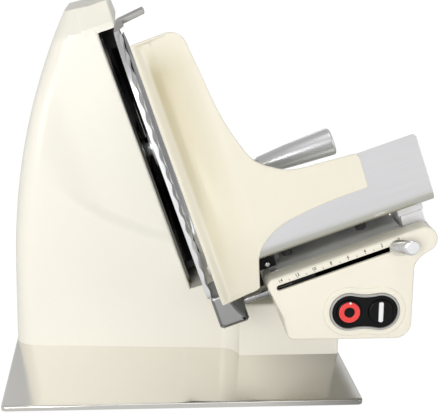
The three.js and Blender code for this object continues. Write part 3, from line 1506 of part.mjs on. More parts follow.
const armOut = pushOut + pushPlateThick + seatGap;
const armCollar = sleeveRadius + 2 * handleRim;
function pushArmOutline() {
  const back = pushRodDepth + armCollar;
  const front = pushRodDepth - armCollar;
  const bendUp = pushRodUp + pushArmBend;
  const half = pushArmWidth / 2;
  const topUp = pushArmUp + half;
  const shape = new THREE.Shape();
  shape.moveTo(back, pushRodUp);
  shape.bezierCurveTo(back, bendUp, front + pushArmLead / 2, topUp, pushPlateBack, topUp);
  shape.lineTo(handleDepth, topUp);
  shape.absarc(handleDepth, pushArmUp, half, Math.PI / 2, Math.PI * 1.5, false);
  shape.lineTo(pushPlateBack, pushArmUp - half);
  shape.bezierCurveTo(front - pushArmLead, pushArmUp - half, front, bendUp, front, pushRodUp);
  shape.absarc(pushRodDepth, pushRodUp, armCollar, Math.PI, 2 * Math.PI, false);
  return shape;
}
const armRight = armOut + pushArmThick;
const handleTab = roundedOutline(
  handleDepth - handleRootRadius, pushArmUp - pushArmWidth / 2, handleDepth + handleRootRadius,
  handleUp + handleRootRadius, handleRootRadius - weldDistance);
const pushArm = cutBy(
  joined(
    swept("x", pushArmOutline(), armOut, armRight, pushArmEdge, 8),
    swept("x", handleTab, armOut, armRight, pushArmEdge, 6),
  ),
  pin("x", pushRodAxis, sleeveRadius + turnGap, armOut - overrun, armRight + overrun, midTurn),
);
addSloped("pusher_arm", pushArm, satinAluminium);

const pushPlateOutline = roundedOutline(
  pushPlateFront, pushPlateLowUp, pushPlateBack, pushPlateHighUp, pushPlateCorner);
const toothProfile = [
  [0, -toothLength],
  [toothRadius, seatGap],
  [0, seatGap],
];
const toothPlace = (low, high, index, count) =>
  mix(low + pushPlateCorner, high - pushPlateCorner, index / (count - 1));
const teeth = [];
for (let row = 0; row < toothRows; row += 1) {
  for (let column = 0; column < toothColumns; column += 1) {
    const depth = toothPlace(pushPlateFront, pushPlateBack, column, toothColumns);
    const up = toothPlace(pushPlateLowUp, pushPlateHighUp, row, toothRows);
    teeth.push(turned("x", [pushOut, depth, up], toothProfile, 6));
  }
}
const pushPlate = joined(swept("x", pushPlateOutline, pushOut, pushOut + pushPlateThick, 0, 5), ...teeth);
addSloped("pusher_plate", pushPlate, satinAluminium);

const handleProfile = [
  [0, armOut + pushArmThick + seatGap],
  [handleRootRadius - handleRim, armOut + pushArmThick + seatGap],
  [handleRootRadius, handleRootOut + handleRim],
  [handleMidRadius, mix(handleRootOut, handleEndOut, handleMidShare)],
  [handleEndRadius, handleEndOut - handleRim],
  [handleEndRadius - handleRim, handleEndOut],
  [handleDimple, handleEndOut],
  [handleDimple, handleEndOut - handleDimpleDepth],
  [0, handleEndOut - handleDimpleDepth],
];
addSloped("pusher_handle", turned("x", [0, handleDepth, handleUp], handleProfile, midTurn), satinAluminium);

// The origin is at the bottom centre of the whole
group.updateMatrixWorld(true);
const extent = new THREE.Box3().setFromObject(group, true);
const middle = extent.getCenter(new THREE.Vector3());
group.position.set(-middle.x, -middle.y, -extent.min.z);
group.updateMatrixWorld(true);

export default group;
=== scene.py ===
"""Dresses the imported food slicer: finished pieces on its bodies, procedural paints, and a small studio."""

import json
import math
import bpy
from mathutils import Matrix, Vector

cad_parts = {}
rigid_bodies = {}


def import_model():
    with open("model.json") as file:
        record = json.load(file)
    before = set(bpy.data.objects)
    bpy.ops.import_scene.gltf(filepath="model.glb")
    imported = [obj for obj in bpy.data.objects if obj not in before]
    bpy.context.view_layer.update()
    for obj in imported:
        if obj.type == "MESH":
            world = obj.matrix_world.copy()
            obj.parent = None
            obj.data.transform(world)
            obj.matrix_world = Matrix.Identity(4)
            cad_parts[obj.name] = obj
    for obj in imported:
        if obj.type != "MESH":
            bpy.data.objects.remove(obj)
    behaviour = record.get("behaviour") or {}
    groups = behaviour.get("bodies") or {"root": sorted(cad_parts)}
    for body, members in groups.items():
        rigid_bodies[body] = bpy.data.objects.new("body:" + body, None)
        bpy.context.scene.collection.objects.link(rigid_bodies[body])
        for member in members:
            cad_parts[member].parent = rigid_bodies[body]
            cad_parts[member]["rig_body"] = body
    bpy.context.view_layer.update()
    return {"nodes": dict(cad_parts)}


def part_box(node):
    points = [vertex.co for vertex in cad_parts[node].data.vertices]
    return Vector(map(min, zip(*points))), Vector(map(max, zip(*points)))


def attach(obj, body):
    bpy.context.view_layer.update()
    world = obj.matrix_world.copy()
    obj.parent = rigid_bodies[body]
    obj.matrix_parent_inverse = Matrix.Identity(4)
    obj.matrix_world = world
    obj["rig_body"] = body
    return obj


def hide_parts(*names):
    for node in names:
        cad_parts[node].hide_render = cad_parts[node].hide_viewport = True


bl_info = {
    "name": "Food slicer dressing",
    "version": (1, 0, 0),
    "blender": (4, 5, 0),
    "location": "3D View > Sidebar > Slicer",
    "description": "Builds the finished pieces, paints and studio of a gravity-feed food slicer",
    "category": "Object",
}

import bmesh
import bpy
import numpy as np
from mathutils import Matrix, Vector
from mathutils.geometry import delaunay_2d_cdt

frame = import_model()
NODES = frame["nodes"]

# Places. Sizes are in millimetres in two frames: upright, from the base plate's top front edge, and the slope
# frame of the blade and tray, whose coordinates are the distance out, the depth and the distance up.
MM = 1000
BASE_LOW, BASE_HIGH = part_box("base_plate")
BASE_LEFT, BASE_RIGHT, BASE_FRONT, BASE_BACK = 91.3, 239.8, -12, 330
ORIGIN = np.array([BASE_LOW.x * MM + BASE_LEFT, BASE_LOW.y * MM - BASE_FRONT, BASE_HIGH.z * MM])
TILT = math.radians(19.5)
COS, SIN = math.cos(TILT), math.sin(TILT)
SLOPE = np.array([[COS, 0, SIN], [0, 1, 0], [-SIN, 0, COS]])

# Axes, and the places that several pieces share
ALONG_OUT, ALONG_DEPTH, ALONG_UP = (1, 0, 0), (0, 1, 0), (0, 0, 1)
BLADE_DEPTH, BLADE_UP = 205, 166.5
SPINDLE = (0, BLADE_DEPTH, BLADE_UP)
BLADE_PLANE = (126, BLADE_DEPTH, BLADE_UP)
GUIDE_OUT, GUIDE_UP = 325.5, 42.6
GUIDE = (GUIDE_OUT, 0, GUIDE_UP)
SHAFT_HOLE = 33
INLET = (-30, 0, 24)
HANDLE_AXIS = (0, 100, 134)
SWITCH_X, SWITCH_Z = 239.95, 81.7
OFF_X, ON_X = 225.4, 254.5

# How a finish lies: the slope's turn, none, and a grain that is even all round
SLOPE_TURN, NO_TURN, EVEN = (0, -TILT, 0), (0, 0, 0), (1, 1, 1)


def upright(points):
    return (np.asarray(points, float) + ORIGIN) / MM


def sloped(points):
    return upright(np.asarray(points, float) @ SLOPE)


def to_slope(x, z):
    return x * COS + z * SIN, z * COS - x * SIN


def from_slope(out, up):
    return out * COS - up * SIN, out * SIN + up * COS


# Ways to lay a flat outline and its depth into a frame
def facing(points):
    """Outline in X and Z, depth along Y."""
    return upright([(a, d, b) for a, b, d in points])


def facing_slope(points):
    """Outline in out and up, depth along Y."""
    return sloped([(a, d, b) for a, b, d in points])


def beside_slope(points):
    """Outline in Y and up, depth along the blade axis."""
    return sloped([(d, a, b) for a, b, d in points])


def over_plan(points):
    """Outline in X and Y, depth downwards from Z nought."""
    return upright([(a, b, -d) for a, b, d in points])


def over_slope(points):
    """Outline in out and Y, depth along up."""
    return sloped([(a, b, d) for a, b, d in points])


class SlicerSizes(bpy.types.PropertyGroup):
    rim: bpy.props.FloatProperty(
        name="Rim", description="Radius of the rounded rims of painted sheet", default=0.0014, unit="LENGTH")
    cast_rim: bpy.props.FloatProperty(
        name="Moulded rim", description="Radius of the rims of the front panel", default=0.0026,
        unit="LENGTH")
    rib_pitch: bpy.props.FloatProperty(
        name="Rib pitch", description="Distance between ribs of the thickness plate", default=0.0178,
        unit="LENGTH")
    scale_text: bpy.props.FloatProperty(
        name="Scale numbers", description="Height of the numbers on the scale", default=0.0034, unit="LENGTH")
    spin_facets: bpy.props.IntProperty(
        name="Facets", description="Facets round a turned piece", default=96, min=24)


class SlicerColours(bpy.types.PropertyGroup):
    enamel: bpy.props.FloatVectorProperty(
        name="Housing enamel", description="Cream of the housing", size=3, subtype="COLOR",
        default=(0.895, 0.865, 0.768))
    guard: bpy.props.FloatVectorProperty(
        name="Guard enamel", description="Cream of the hand guard", size=3, subtype="COLOR",
        default=(0.79, 0.747, 0.62))
    panel: bpy.props.FloatVectorProperty(
        name="Panel", description="Cream of the front panel", size=3, subtype="COLOR",
        default=(0.82, 0.78, 0.665))
    # Warm tint: partly the steel, partly a painted reflection of the cream housing.
    steel: bpy.props.FloatVectorProperty(
        name="Polished steel", description="Base plate and side plate", size=3, subtype="COLOR",
        default=(0.83, 0.815, 0.77))
    aluminium: bpy.props.FloatVectorProperty(
        name="Aluminium", description="Tray, thickness plate and handle", size=3, subtype="COLOR",
        default=(0.70, 0.70, 0.71))
    red: bpy.props.FloatVectorProperty(
        name="Off mark", description="Ring on the off button", size=3, subtype="COLOR",
        default=(0.80, 0.055, 0.05))


SIZES = None
COLOURS = None


# Shader arithmetic
class Value:
    """One socket of a shader. Arithmetic on it adds Math nodes."""

    def __init__(self, shade, socket):
        self.shade, self.socket = shade, socket

    def maths(self, operation, *terms):
        return self.shade.add("ShaderNodeMath", {"operation": operation}, dict(enumerate(terms)))

    def __add__(self, other):
        return self.maths("ADD", self, other)

    __radd__ = __add__

    def __mul__(self, other):
        return self.maths("MULTIPLY", self, other)

    __rmul__ = __mul__

    def __sub__(self, other):
        return self.maths("SUBTRACT", self, other)

    def __rsub__(self, other):
        return self.maths("SUBTRACT", other, self)

    def __truediv__(self, other):
        return self.maths("DIVIDE", self, other)

    def clamped(self):
        return self.shade.add("ShaderNodeClamp", None, {0: self})


class Shade:
    """A material in the making, with one way to add a node to it."""

    def __init__(self, name, **fixed):
        self.material = bpy.data.materials.new(name)
        self.material.use_nodes = True
        self.tree = self.material.node_tree
        self.surface = self.tree.nodes["Principled BSDF"]
        for socket, value in fixed.items():
            self.set(socket.replace("_", " ").title().replace("Ior", "IOR"), value)

    @classmethod
    def over(cls, tree):
        """The same ways to add nodes, for a tree that is there already."""
        made = cls.__new__(cls)
        made.tree = tree
        return made

    def set(self, socket, value):
        self.feed(self.surface.inputs[socket], value)

    def feed(self, socket, value):
        if isinstance(value, Value):
            self.tree.links.new(value.socket, socket)
        elif socket.type == "RGBA":
            socket.default_value = (*value, 1)[:4]
        else:
            socket.default_value = value

    def add(self, kind, settings=None, inputs=None, output=0):
        made = self.tree.nodes.new(kind)
        for key, value in (settings or {}).items():
            if key == "stops":
                ramp = made.color_ramp
                while len(ramp.elements) < len(value):
                    ramp.elements.new(0.5)
                for element, (place, grey) in zip(ramp.elements, value):
                    element.position = place
                    element.color = (grey, grey, grey, 1)
            else:
                setattr(made, key, value)
        for key, value in (inputs or {}).items():
            self.feed(made.inputs[key], value)
        return Value(self, made.outputs[output])

    def where(self, stretch=EVEN, turn=NO_TURN):
        spot = self.add("ShaderNodeTexCoord", output="Object")
        if stretch == EVEN and turn == NO_TURN:
            return spot
        turned = self.add("ShaderNodeMapping", {"vector_type": "TEXTURE"}, {"Vector": spot, "Rotation": turn})
        return self.add("ShaderNodeMapping", None, {"Vector": turned, "Scale": stretch})

    def slope_place(self):
        """The distances out and up the slope, in millimetres."""
        spot = self.where()
        x, z = (self.add("ShaderNodeSeparateXYZ", None, {0: spot}, output=axis) for axis in (0, 2))
        out = x * (MM * COS) + z * (MM * SIN) - (ORIGIN[0] * COS + ORIGIN[2] * SIN)
        return out, z * (MM * COS) - x * (MM * SIN) - (ORIGIN[2] * COS - ORIGIN[0] * SIN)

    def recolour(self, share, colour):
        """Blends another colour over what the base colour is so far."""
        socket = self.surface.inputs["Base Color"].links[0].from_socket
        self.set("Base Color", self.blend(share, Value(self, socket), colour))

    def noise(self, scale, detail=3, rough=0.55, spot=None):
        return self.add("ShaderNodeTexNoise", None, {
            "Vector": spot or self.where(), "Scale": scale, "Detail": detail, "Roughness": rough})

    def ramp(self, value, *stops):
        return self.add("ShaderNodeValToRGB", {"stops": stops}, {"Fac": value})

    def blend(self, share, low, high):
        return self.add("ShaderNodeMix", {"data_type": "RGBA"}, {"Factor": share, 6: low, 7: high}, output=2)

    def bumps(self, height, strength, distance=0.001):
        self.set("Normal", self.add("ShaderNodeBump", None, {
            "Height": height, "Strength": strength, "Distance": distance}))

    def rubbed(self, low=0.52, high=0.62):
        """A mask of the convex rims, where hands and cloths wear the finish."""
        sharp = self.add("ShaderNodeNewGeometry", output="Pointiness")
        return self.ramp(sharp, (low, 0), (high, 1))


def tint(colour, share):
    return tuple(min(1.0, channel * share) for channel in colour)


def aluminium(share):
    return tint(tuple(COLOURS.aluminium), share)


MADE = {}


def finish(make):
    """Keeps each finish once, by the name of the function that makes it."""
    def once(*args):
        key = (make.__name__, *args)
        if key not in MADE:
            MADE[key] = make(*args).material
        return MADE[key]
    return once


def enamelled(name, colour, roughness, peel):
    shade = Shade(name, specular_ior_level=0.4, coat_weight=0.15, coat_roughness=0.2)
    broad = shade.noise(9, 2)
    cloudy = shade.noise(46, 4)
    fine = shade.noise(1500, 2)
    tone = shade.blend(broad, tint(colour, 0.985), tint(colour, 1.012))
    worn = shade.rubbed() * 0.22
    shade.set("Base Color", shade.blend(worn, tone, tint(colour, 1.08)))
    shade.set("Roughness", (roughness - 0.03) + 0.07 * cloudy)
    shade.bumps(fine * 0.5 + shade.noise(330, 2) * peel, 0.06, 0.0004)
    return shade


@finish
def housing_enamel():
    return enamelled("housing_enamel", tuple(COLOURS.enamel), 0.36, 0.9)


@finish
def guard_enamel():
    shade = enamelled("guard_enamel", tuple(COLOURS.guard), 0.30, 0.6)
    out, up = shade.slope_place()
    # Painted shade: a warm, darker band in the valley right of the lip. It is sharp at the lip, fades to the
    # right, and is strongest high on the guard.
    fold_shade_colour = tuple(channel * share for channel, share in zip(COLOURS.guard, (0.76, 0.72, 0.57)))
    fold_shade = shade.ramp((out - 130) / 60, (0.185, 0), (0.225, 1), (0.5, 0.45), (0.85, 0))
    fold_shade_reach = shade.ramp(up / 300, (0.2, 0.55), (0.45, 0.6), (0.7, 0.75), (0.88, 1), (0.975, 0))
    shade.recolour(fold_shade * fold_shade_reach, fold_shade_colour)
    # Painted shade: the guard darkens towards its bottom edge.
    shade.recolour(shade.ramp(up / 300, (0.17, 0.8), (0.36, 0)), tint(tuple(COLOURS.guard), 0.88))
    return shade


@finish
def panel_moulding():
    shade = Shade("panel_moulding", specular_ior_level=0.5)
    colour = tuple(COLOURS.panel)
    grain = shade.noise(2600, 2)
    cloudy = shade.noise(30, 3)
    shade.set("Base Color", shade.blend(cloudy, tint(colour, 0.98), tint(colour, 1.015)))
    shade.set("Roughness", 0.40 + 0.10 * cloudy)
    shade.bumps(grain, 0.10, 0.0003)
    return shade


def brushed(name, colour, roughness, stretch, turn, depth, metallic=1.0):
    """Metal with fine parallel scratches, lying along the axis that the stretch leaves long."""
    shade = Shade(name, metallic=metallic)
    lines = shade.noise(900, 3, 0.6, shade.where(stretch, turn))
    streaks = shade.noise(60, 2, 0.5, shade.where(stretch, turn))
    cloudy = shade.noise(14, 4)
    marks = shade.ramp(shade.noise(120, 5, 0.7), (0.60, 0), (0.72, 1))
    shade.set("Base Color", shade.blend(lines * 0.7 + streaks * 0.3, tint(colour, 0.94), tint(colour, 1.05)))
    shade.set("Roughness", roughness + 0.10 * (cloudy - 0.5) + 0.09 * (lines - 0.5) + 0.05 * marks)
    shade.bumps(lines, depth, 0.0002)
    return shade


def polished(name, colour, roughness, stretch, turn=NO_TURN):
    """Metal polished until only faint hairlines and wiping marks are left."""
    shade = Shade(name, metallic=1.0)
    lines = shade.noise(700, 2, 0.5, shade.where(stretch, turn))
    cloudy = shade.noise(7, 3)
    wipes_and_painted_shade = shade.noise(38, 4, 0.6)
    shade.set("Base Color", shade.blend(cloudy, tint(colour, 0.97), tint(colour, 1.03)))
    shade.set("Roughness", roughness + 0.05 * (cloudy - 0.5) + 0.05 * (wipes_and_painted_shade - 0.5) + 0.03 * (lines - 0.5))
    shade.bumps(lines, 0.02, 0.0001)
    return shade


@finish
def base_steel():
    """Polished steel, its right part darkened by a painted reflection of the shaded housing."""
    shade = polished("base_steel", tuple(COLOURS.steel), 0.15, (0.02, 1, 1))
    start, width = 120, 120
    x = shade.add("ShaderNodeSeparateXYZ", None, {0: shade.where()}, output=0)
    wipes_and_painted_shade = shade.noise(22, 2) * 0.12 + x * MM - (ORIGIN[0] + start)
    painted_shade_share = shade.ramp(wipes_and_painted_shade / width, (0.2, 0), (0.75, 0.75), (0.95, 1))
    shade.recolour(painted_shade_share, tint(tuple(COLOURS.steel), 0.42))
    return shade


@finish
def side_steel():
    # Painted shade: the polished steel is near black, as it stands in the shaded gap beside the blade.
    shade = polished("side_steel", (0.018, 0.018, 0.018), 0.19, (1, 0.02, 1), SLOPE_TURN)
    up = shade.slope_place()[1]
    # Painted reflection: an olive-grey sheen, strongest at the bottom of the strip and fading halfway up,
    # with a faint band near the top.
    painted_reflection_share = shade.ramp(
        up / 330, (0.10, 1), (0.30, 0.7), (0.50, 0.3), (0.66, 0), (0.80, 0), (0.84, 0.3), (0.88, 0))
    shade.recolour(painted_reflection_share, (0.22, 0.215, 0.18))
    return shade


@finish
def tray_aluminium():
    shade = brushed("tray_aluminium", aluminium(1.16), 0.30, (0.03, 1, 1), SLOPE_TURN, 0.04)
    up = shade.slope_place()[1]
    # Painted reflection: an olive-grey band over the bend at the foot of the tray.
    shade.recolour(shade.ramp((up - 74) / 20, (0.35, 1), (0.65, 0)), (0.70, 0.70, 0.63))
    return shade


@finish
def plate_aluminium():
    return brushed("plate_aluminium", aluminium(1.1), 0.34, (1, 0.03, 1), SLOPE_TURN, 0.06, 0.8)


@finish
def lip_aluminium():
    # Darker and duller than the plate: painted shade for the lip over the plate's top.
    return brushed("lip_aluminium", (0.40, 0.395, 0.38), 0.5, (1, 0.03, 1), SLOPE_TURN, 0.06, 0.5)


@finish
def plate_edge():
    return brushed("plate_edge", aluminium(1.2), 0.34, (1, 1, 0.03), SLOPE_TURN, 0.05)


@finish
def carrier_metal():
    return brushed("carrier_metal", (0.42, 0.42, 0.415), 0.38, EVEN, NO_TURN, 0.10)


@finish
def rod_steel():
    return brushed("rod_steel", (0.44, 0.44, 0.445), 0.22, (0.04, 1, 1), SLOPE_TURN, 0.05)


@finish
def bar_aluminium():
    return brushed("bar_aluminium", aluminium(1.15), 0.45, (0.05, 1, 1), SLOPE_TURN, 0.04, 0.35)


@finish
def inner_black():
    # Near-black without gloss: painted shade for the faces inside the control housing.
    return moulded("inner_black", (0.004, 0.004, 0.004), 0.8, 0.1, 0)


@finish
def handle_aluminium():
    return brushed("handle_aluminium", aluminium(1.1), 0.32, (0.04, 1, 1), SLOPE_TURN, 0.015, 0.85)


@finish
def cast_aluminium():
    return brushed("cast_aluminium", aluminium(0.92), 0.42, EVEN, NO_TURN, 0.12)


@finish
def top_steel():
    return brushed("top_steel", (0.74, 0.74, 0.72), 0.20, (1, 0.02, 1), SLOPE_TURN, 0.02, 0.75)


@finish
def turned_steel():
    return brushed("turned_steel", (0.70, 0.70, 0.71), 0.20, (1, 0.03, 1), NO_TURN, 0.06)


@finish
def blade_steel():
    shade = Shade("blade_steel", metallic=1.0)
    spot = shade.where()
    parted = shade.add("ShaderNodeVectorMath", {"operation": "SUBTRACT"}, {
        0: spot, 1: tuple(sloped([BLADE_PLANE])[0])})
    far = shade.add("ShaderNodeVectorMath", {"operation": "LENGTH"}, {0: parted}, output="Value")
    rings = (far * 5200).maths("SINE", far * 5200)
    lines = shade.noise(40, 3, 0.6, shade.add("ShaderNodeCombineXYZ", None, {0: far * 60, 1: 0.3, 2: 0.7}))
    shade.set("Base Color", shade.blend(lines, (0.56, 0.57, 0.58), (0.72, 0.73, 0.74)))
    shade.set("Roughness", 0.19 + 0.10 * lines)
    shade.bumps(rings * 0.5 + lines, 0.05, 0.0002)
    return shade


@finish
def cast_metal():
    shade = Shade("cast_metal", metallic=0.85)
    grit = shade.noise(700, 4, 0.7)
    cloudy = shade.noise(35, 4)
    worn = shade.rubbed() * 0.5
    skin = shade.blend(cloudy, (0.13, 0.135, 0.13), (0.19, 0.195, 0.19))
    shade.set("Base Color", shade.blend(worn, skin, (0.40, 0.41, 0.40)))
    shade.set("Roughness", 0.50 + 0.18 * (grit - 0.5) - 0.15 * worn)
    shade.bumps(grit, 0.25, 0.0005)
    return shade


@finish
def knob_chrome():
    shade = Shade("knob_chrome", metallic=1.0)
    smear = shade.noise(160, 4, 0.65)
    shade.set("Base Color", shade.blend(smear, (0.78, 0.78, 0.78), (0.86, 0.86, 0.86)))
    shade.set("Roughness", 0.22 + 0.09 * smear)
    shade.bumps(shade.noise(900, 2), 0.02, 0.0002)
    return shade


def moulded(name, colour, roughness, grain_depth, glossy=0.5):
    shade = Shade(name, specular_ior_level=glossy)
    grain = shade.noise(1900, 3)
    cloudy = shade.noise(60, 4)
    worn = shade.rubbed() * 0.35
    skin = shade.blend(cloudy, tint(colour, 0.88), tint(colour, 1.12))
    shade.set("Base Color", shade.blend(worn, skin, tuple(min(1, c * 1.2 + 0.02) for c in colour)))
    shade.set("Roughness", roughness + 0.10 * (cloudy - 0.5))
    shade.bumps(grain, grain_depth, 0.0003)
    return shade


@finish
def black_moulding():
    return moulded("black_moulding", (0.006, 0.0065, 0.0065), 0.36, 0.10, 0.12)


@finish
def button_gloss():
    return moulded("button_gloss", (0.006, 0.0065, 0.0065), 0.24, 0.03, 0.14)


@finish
def black_rubber():
    return moulded("black_rubber", (0.018, 0.018, 0.018), 0.72, 0.28, 0.3)


@finish
def bezel_grey():
    return moulded("bezel_grey", (0.40, 0.40, 0.375), 0.38, 0.05)


@finish
def mark_red():
    return moulded("mark_red", tuple(COLOURS.red), 0.32, 0.04)


@finish
def mark_white():
    return moulded("mark_white", (0.80, 0.80, 0.80), 0.34, 0.04)


@finish
def scale_ink():
    return moulded("scale_ink", (0.03, 0.03, 0.032), 0.5, 0.02)


@finish
def motor_paint():
    return moulded("motor_paint", (0.035, 0.04, 0.045), 0.5, 0.3)


@finish
def relay_green():
    return moulded("relay_green", (0.03, 0.075, 0.045), 0.5, 0.1)


# Outlines, in millimetres
def arc(x, y, radius, start, end, steps=12):
    angles = np.radians(np.linspace(start, end, steps + 1))
    return [(x + radius * math.cos(a), y + radius * math.sin(a)) for a in angles]


def bow(start, pull, end, steps=10):
    """A curve from start to end, pulled to one side."""
    shares = np.linspace(0, 1, steps + 1)
    return [tuple((1 - t) ** 2 * np.array(start) + 2 * t * (1 - t) * np.array(pull) + t * t * np.array(end))
            for t in shares]


def wave(start, first, second, end, steps=16):
    shares = np.linspace(0, 1, steps + 1)
    points = [np.array(p, float) for p in (start, first, second, end)]
    return [tuple((1 - t) ** 3 * points[0] + 3 * t * (1 - t) ** 2 * points[1]
                  + 3 * t * t * (1 - t) * points[2] + t ** 3 * points[3]) for t in shares]


def cleaned(points, step=0.02, closed=True):
    kept = []
    for point in points:
        if not kept or math.dist(point, kept[-1]) > step:
            kept.append(point)
    if closed and math.dist(kept[0], kept[-1]) <= step:
        kept.pop()
    return kept


def area(loop):
    x, y = np.array(loop).T
    return 0.5 * float(np.sum(x * np.roll(y, -1) - np.roll(x, -1) * y))


def as_outer(loop):
    return loop if area(loop) > 0 else loop[::-1]


def as_hole(loop):
    return as_outer(loop)[::-1]


def drawn_in(loop, distance):
    """The loop moved to its left, which is into the material for an outer loop and for a hole alike."""
    points = np.array(loop)
    ahead = np.roll(points, -1, 0) - points
    ahead /= np.linalg.norm(ahead, axis=1)[:, None]
    left = np.stack([-ahead[:, 1], ahead[:, 0]], 1)
    both = left + np.roll(left, 1, 0)
    both /= np.maximum((both ** 2).sum(1), 0.25)[:, None] / 2
    return points + both * distance


def circle(x, y, radius, steps=48):
    return cleaned(arc(x, y, radius, 0, 360, steps))


def rounded_box(left, low, right, high, radius, steps=6):
    near, far, bottom, top = left + radius, right - radius, low + radius, high - radius
    centres = [(far, bottom), (far, top), (near, top), (near, bottom)]
    return cleaned([point for quarter, centre in enumerate(centres)
                    for point in arc(*centre, radius, 90 * quarter - 90, 90 * quarter, steps)])


def inside(loop, points):
    """Which points lie within a loop."""
    x, y = points.T
    a = np.array(loop)
    b = np.roll(a, -1, 0)
    hit = np.zeros(len(points), bool)
    for (x0, y0), (x1, y1) in zip(a, b):
        if y0 == y1:
            continue
        crosses = (y0 > y) != (y1 > y)
        hit ^= crosses & (x < (x1 - x0) * (y - y0) / (y1 - y0) + x0)
    return hit


# Pieces
def mended(mesh):
    """Welds a mesh and turns its faces outward."""
    built = bmesh.new()
    built.from_mesh(mesh)
    bmesh.ops.remove_doubles(built, verts=built.verts, dist=1e-7)
    bmesh.ops.recalc_face_normals(built, faces=built.faces)
    if built.calc_volume(signed=True) < 0:
        bmesh.ops.reverse_faces(built, faces=built.faces)
    built.to_mesh(mesh)
    built.free()


def placed(name, data):
    """A new object, linked to the scene."""
    made = bpy.data.objects.new(name, data)
    bpy.context.scene.collection.objects.link(made)
    return made


def piece(name, verts, faces, material, body, slot, replaces=(), sharp=38):
    """A finished piece that rides on a body, and takes the place of the nodes that it replaces."""
    mesh = bpy.data.meshes.new(name)
    mesh.from_pydata([tuple(v) for v in verts], [], [tuple(f) for f in faces])
    mesh.validate()
    mended(mesh)
    mesh.shade_smooth()
    mesh.set_sharp_from_angle(angle=math.radians(sharp))
    mesh.materials.append(material)
    made = placed(name, mesh)
    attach(made, body)
    if replaces:
        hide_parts(*replaces)
    return made


def slab(loop, holes, front, back, rim_front, rim_back, lay, grid=None, steps=4):
    """A plate with rounded rims: verts and faces. front and back are depths, or functions that give them.
    rim_front may be one radius, or one for each loop."""
    loops = [as_outer(cleaned(loop))] + [as_hole(cleaned(hole)) for hole in holes]
    verts, faces = [], []

    def depth(side, points):
        return side(points[:, 0], points[:, 1]) if callable(side) else np.full(len(points), float(side))

    def ring(points, side, sunk):
        start = len(verts)
        values = depth(side, points) + sunk
        verts.extend((x, y, d) for (x, y), d in zip(points, values))
        return start, len(points)

    def bridge(first, second, flip):
        (a, count), (b, _) = first, second
        for i in range(count):
            j = (i + 1) % count
            face = (a + i, a + j, b + j, b + i)
            faces.append(face[::-1] if flip else face)

    def face_side(side, rims, sign):
        rings = []
        for points, rim in zip(loops, rims if isinstance(rims, list) else [rims] * len(loops)):
            row = []
            for k in range(steps + 1):
                angle = (k / steps) * math.pi / 2
                inset = rim * (1 - math.cos(angle)) if rim else 0
                sunk = rim * (1 - math.sin(angle)) if rim else 0
                row.append(ring(drawn_in(points, inset), side, sign * sunk))
                if not rim:
                    break
            for near, far in zip(row, row[1:]):
                bridge(near, far, sign > 0)
            rings.append(row)
        flat, source, edges = [], [], []
        for row in rings:
            start, count = row[-1]
            base = len(flat)
            flat += [verts[start + i][:2] for i in range(count)]
            source += list(range(start, start + count))
            edges += [(base + i, base + (i + 1) % count) for i in range(count)]
        bounds = [np.array(flat[sum(r[-1][1] for r in rings[:n]):sum(r[-1][1] for r in rings[:n + 1])])
                  for n in range(len(rings))]
        if grid:
            low, high = bounds[0].min(0), bounds[0].max(0)
            xs = np.arange(low[0] + grid[0] / 2, high[0], grid[0])
            ys = np.arange(low[1] + grid[1] / 2, high[1], grid[1])
            spots = np.array([(x, y) for x in xs for y in ys])
            keep = inside(bounds[0], spots)
            for hole in bounds[1:]:
                keep &= ~inside(hole, spots)
            rim_points = np.concatenate(bounds)
            spots = spots[keep]
            near = np.array([np.min(((rim_points - s) ** 2).sum(1)) for s in spots])
            spots = spots[near > (min(grid) * 0.35) ** 2]
            for spot, value in zip(spots, depth(side, spots)):
                source.append(len(verts))
                verts.append((spot[0], spot[1], value))
                flat.append(tuple(spot))
        made = delaunay_2d_cdt([Vector(p) for p in flat], edges, [], 1, 1e-5, True)
        places, triangles, origins = made[0], made[2], made[3]
        index = []
        for place, origin in zip(places, origins):
            if origin:
                index.append(source[origin[0]])
            else:
                spot = np.array([tuple(place)])
                index.append(len(verts))
                verts.append((spot[0, 0], spot[0, 1], depth(side, spot)[0]))
        middles = np.array([np.mean([tuple(places[i]) for i in t], 0) for t in triangles])
        keep = inside(bounds[0], middles)
        for hole in bounds[1:]:
            keep &= ~inside(hole, middles)
        for triangle, wanted in zip(triangles, keep):
            if wanted:
                face = tuple(index[i] for i in triangle)
                faces.append(face if sign < 0 else face[::-1])
        return [row[0] for row in rings]

    fronts = face_side(front, rim_front, 1)
    backs = face_side(back, rim_back, -1)
    for near, far in zip(fronts, backs):
        bridge(near, far, False)
    return lay(verts), faces


def eased(points, radius, steps=4):
    """An open line of [radius, along] pairs with each inner corner rounded."""
    line = [np.array(points[0], float)]
    for before, corner, after in zip(points, points[1:], points[2:]):
        before, corner, after = (np.array(p, float) for p in (before, corner, after))
        back, on = before - corner, after - corner
        reach = min(radius, 0.45 * np.linalg.norm(back), 0.45 * np.linalg.norm(on))
        start = corner + back / max(np.linalg.norm(back), 1e-9) * reach
        end = corner + on / max(np.linalg.norm(on), 1e-9) * reach
        line += [np.array(p) for p in bow(start, corner, end, steps)]
    return line + [np.array(points[-1], float)]


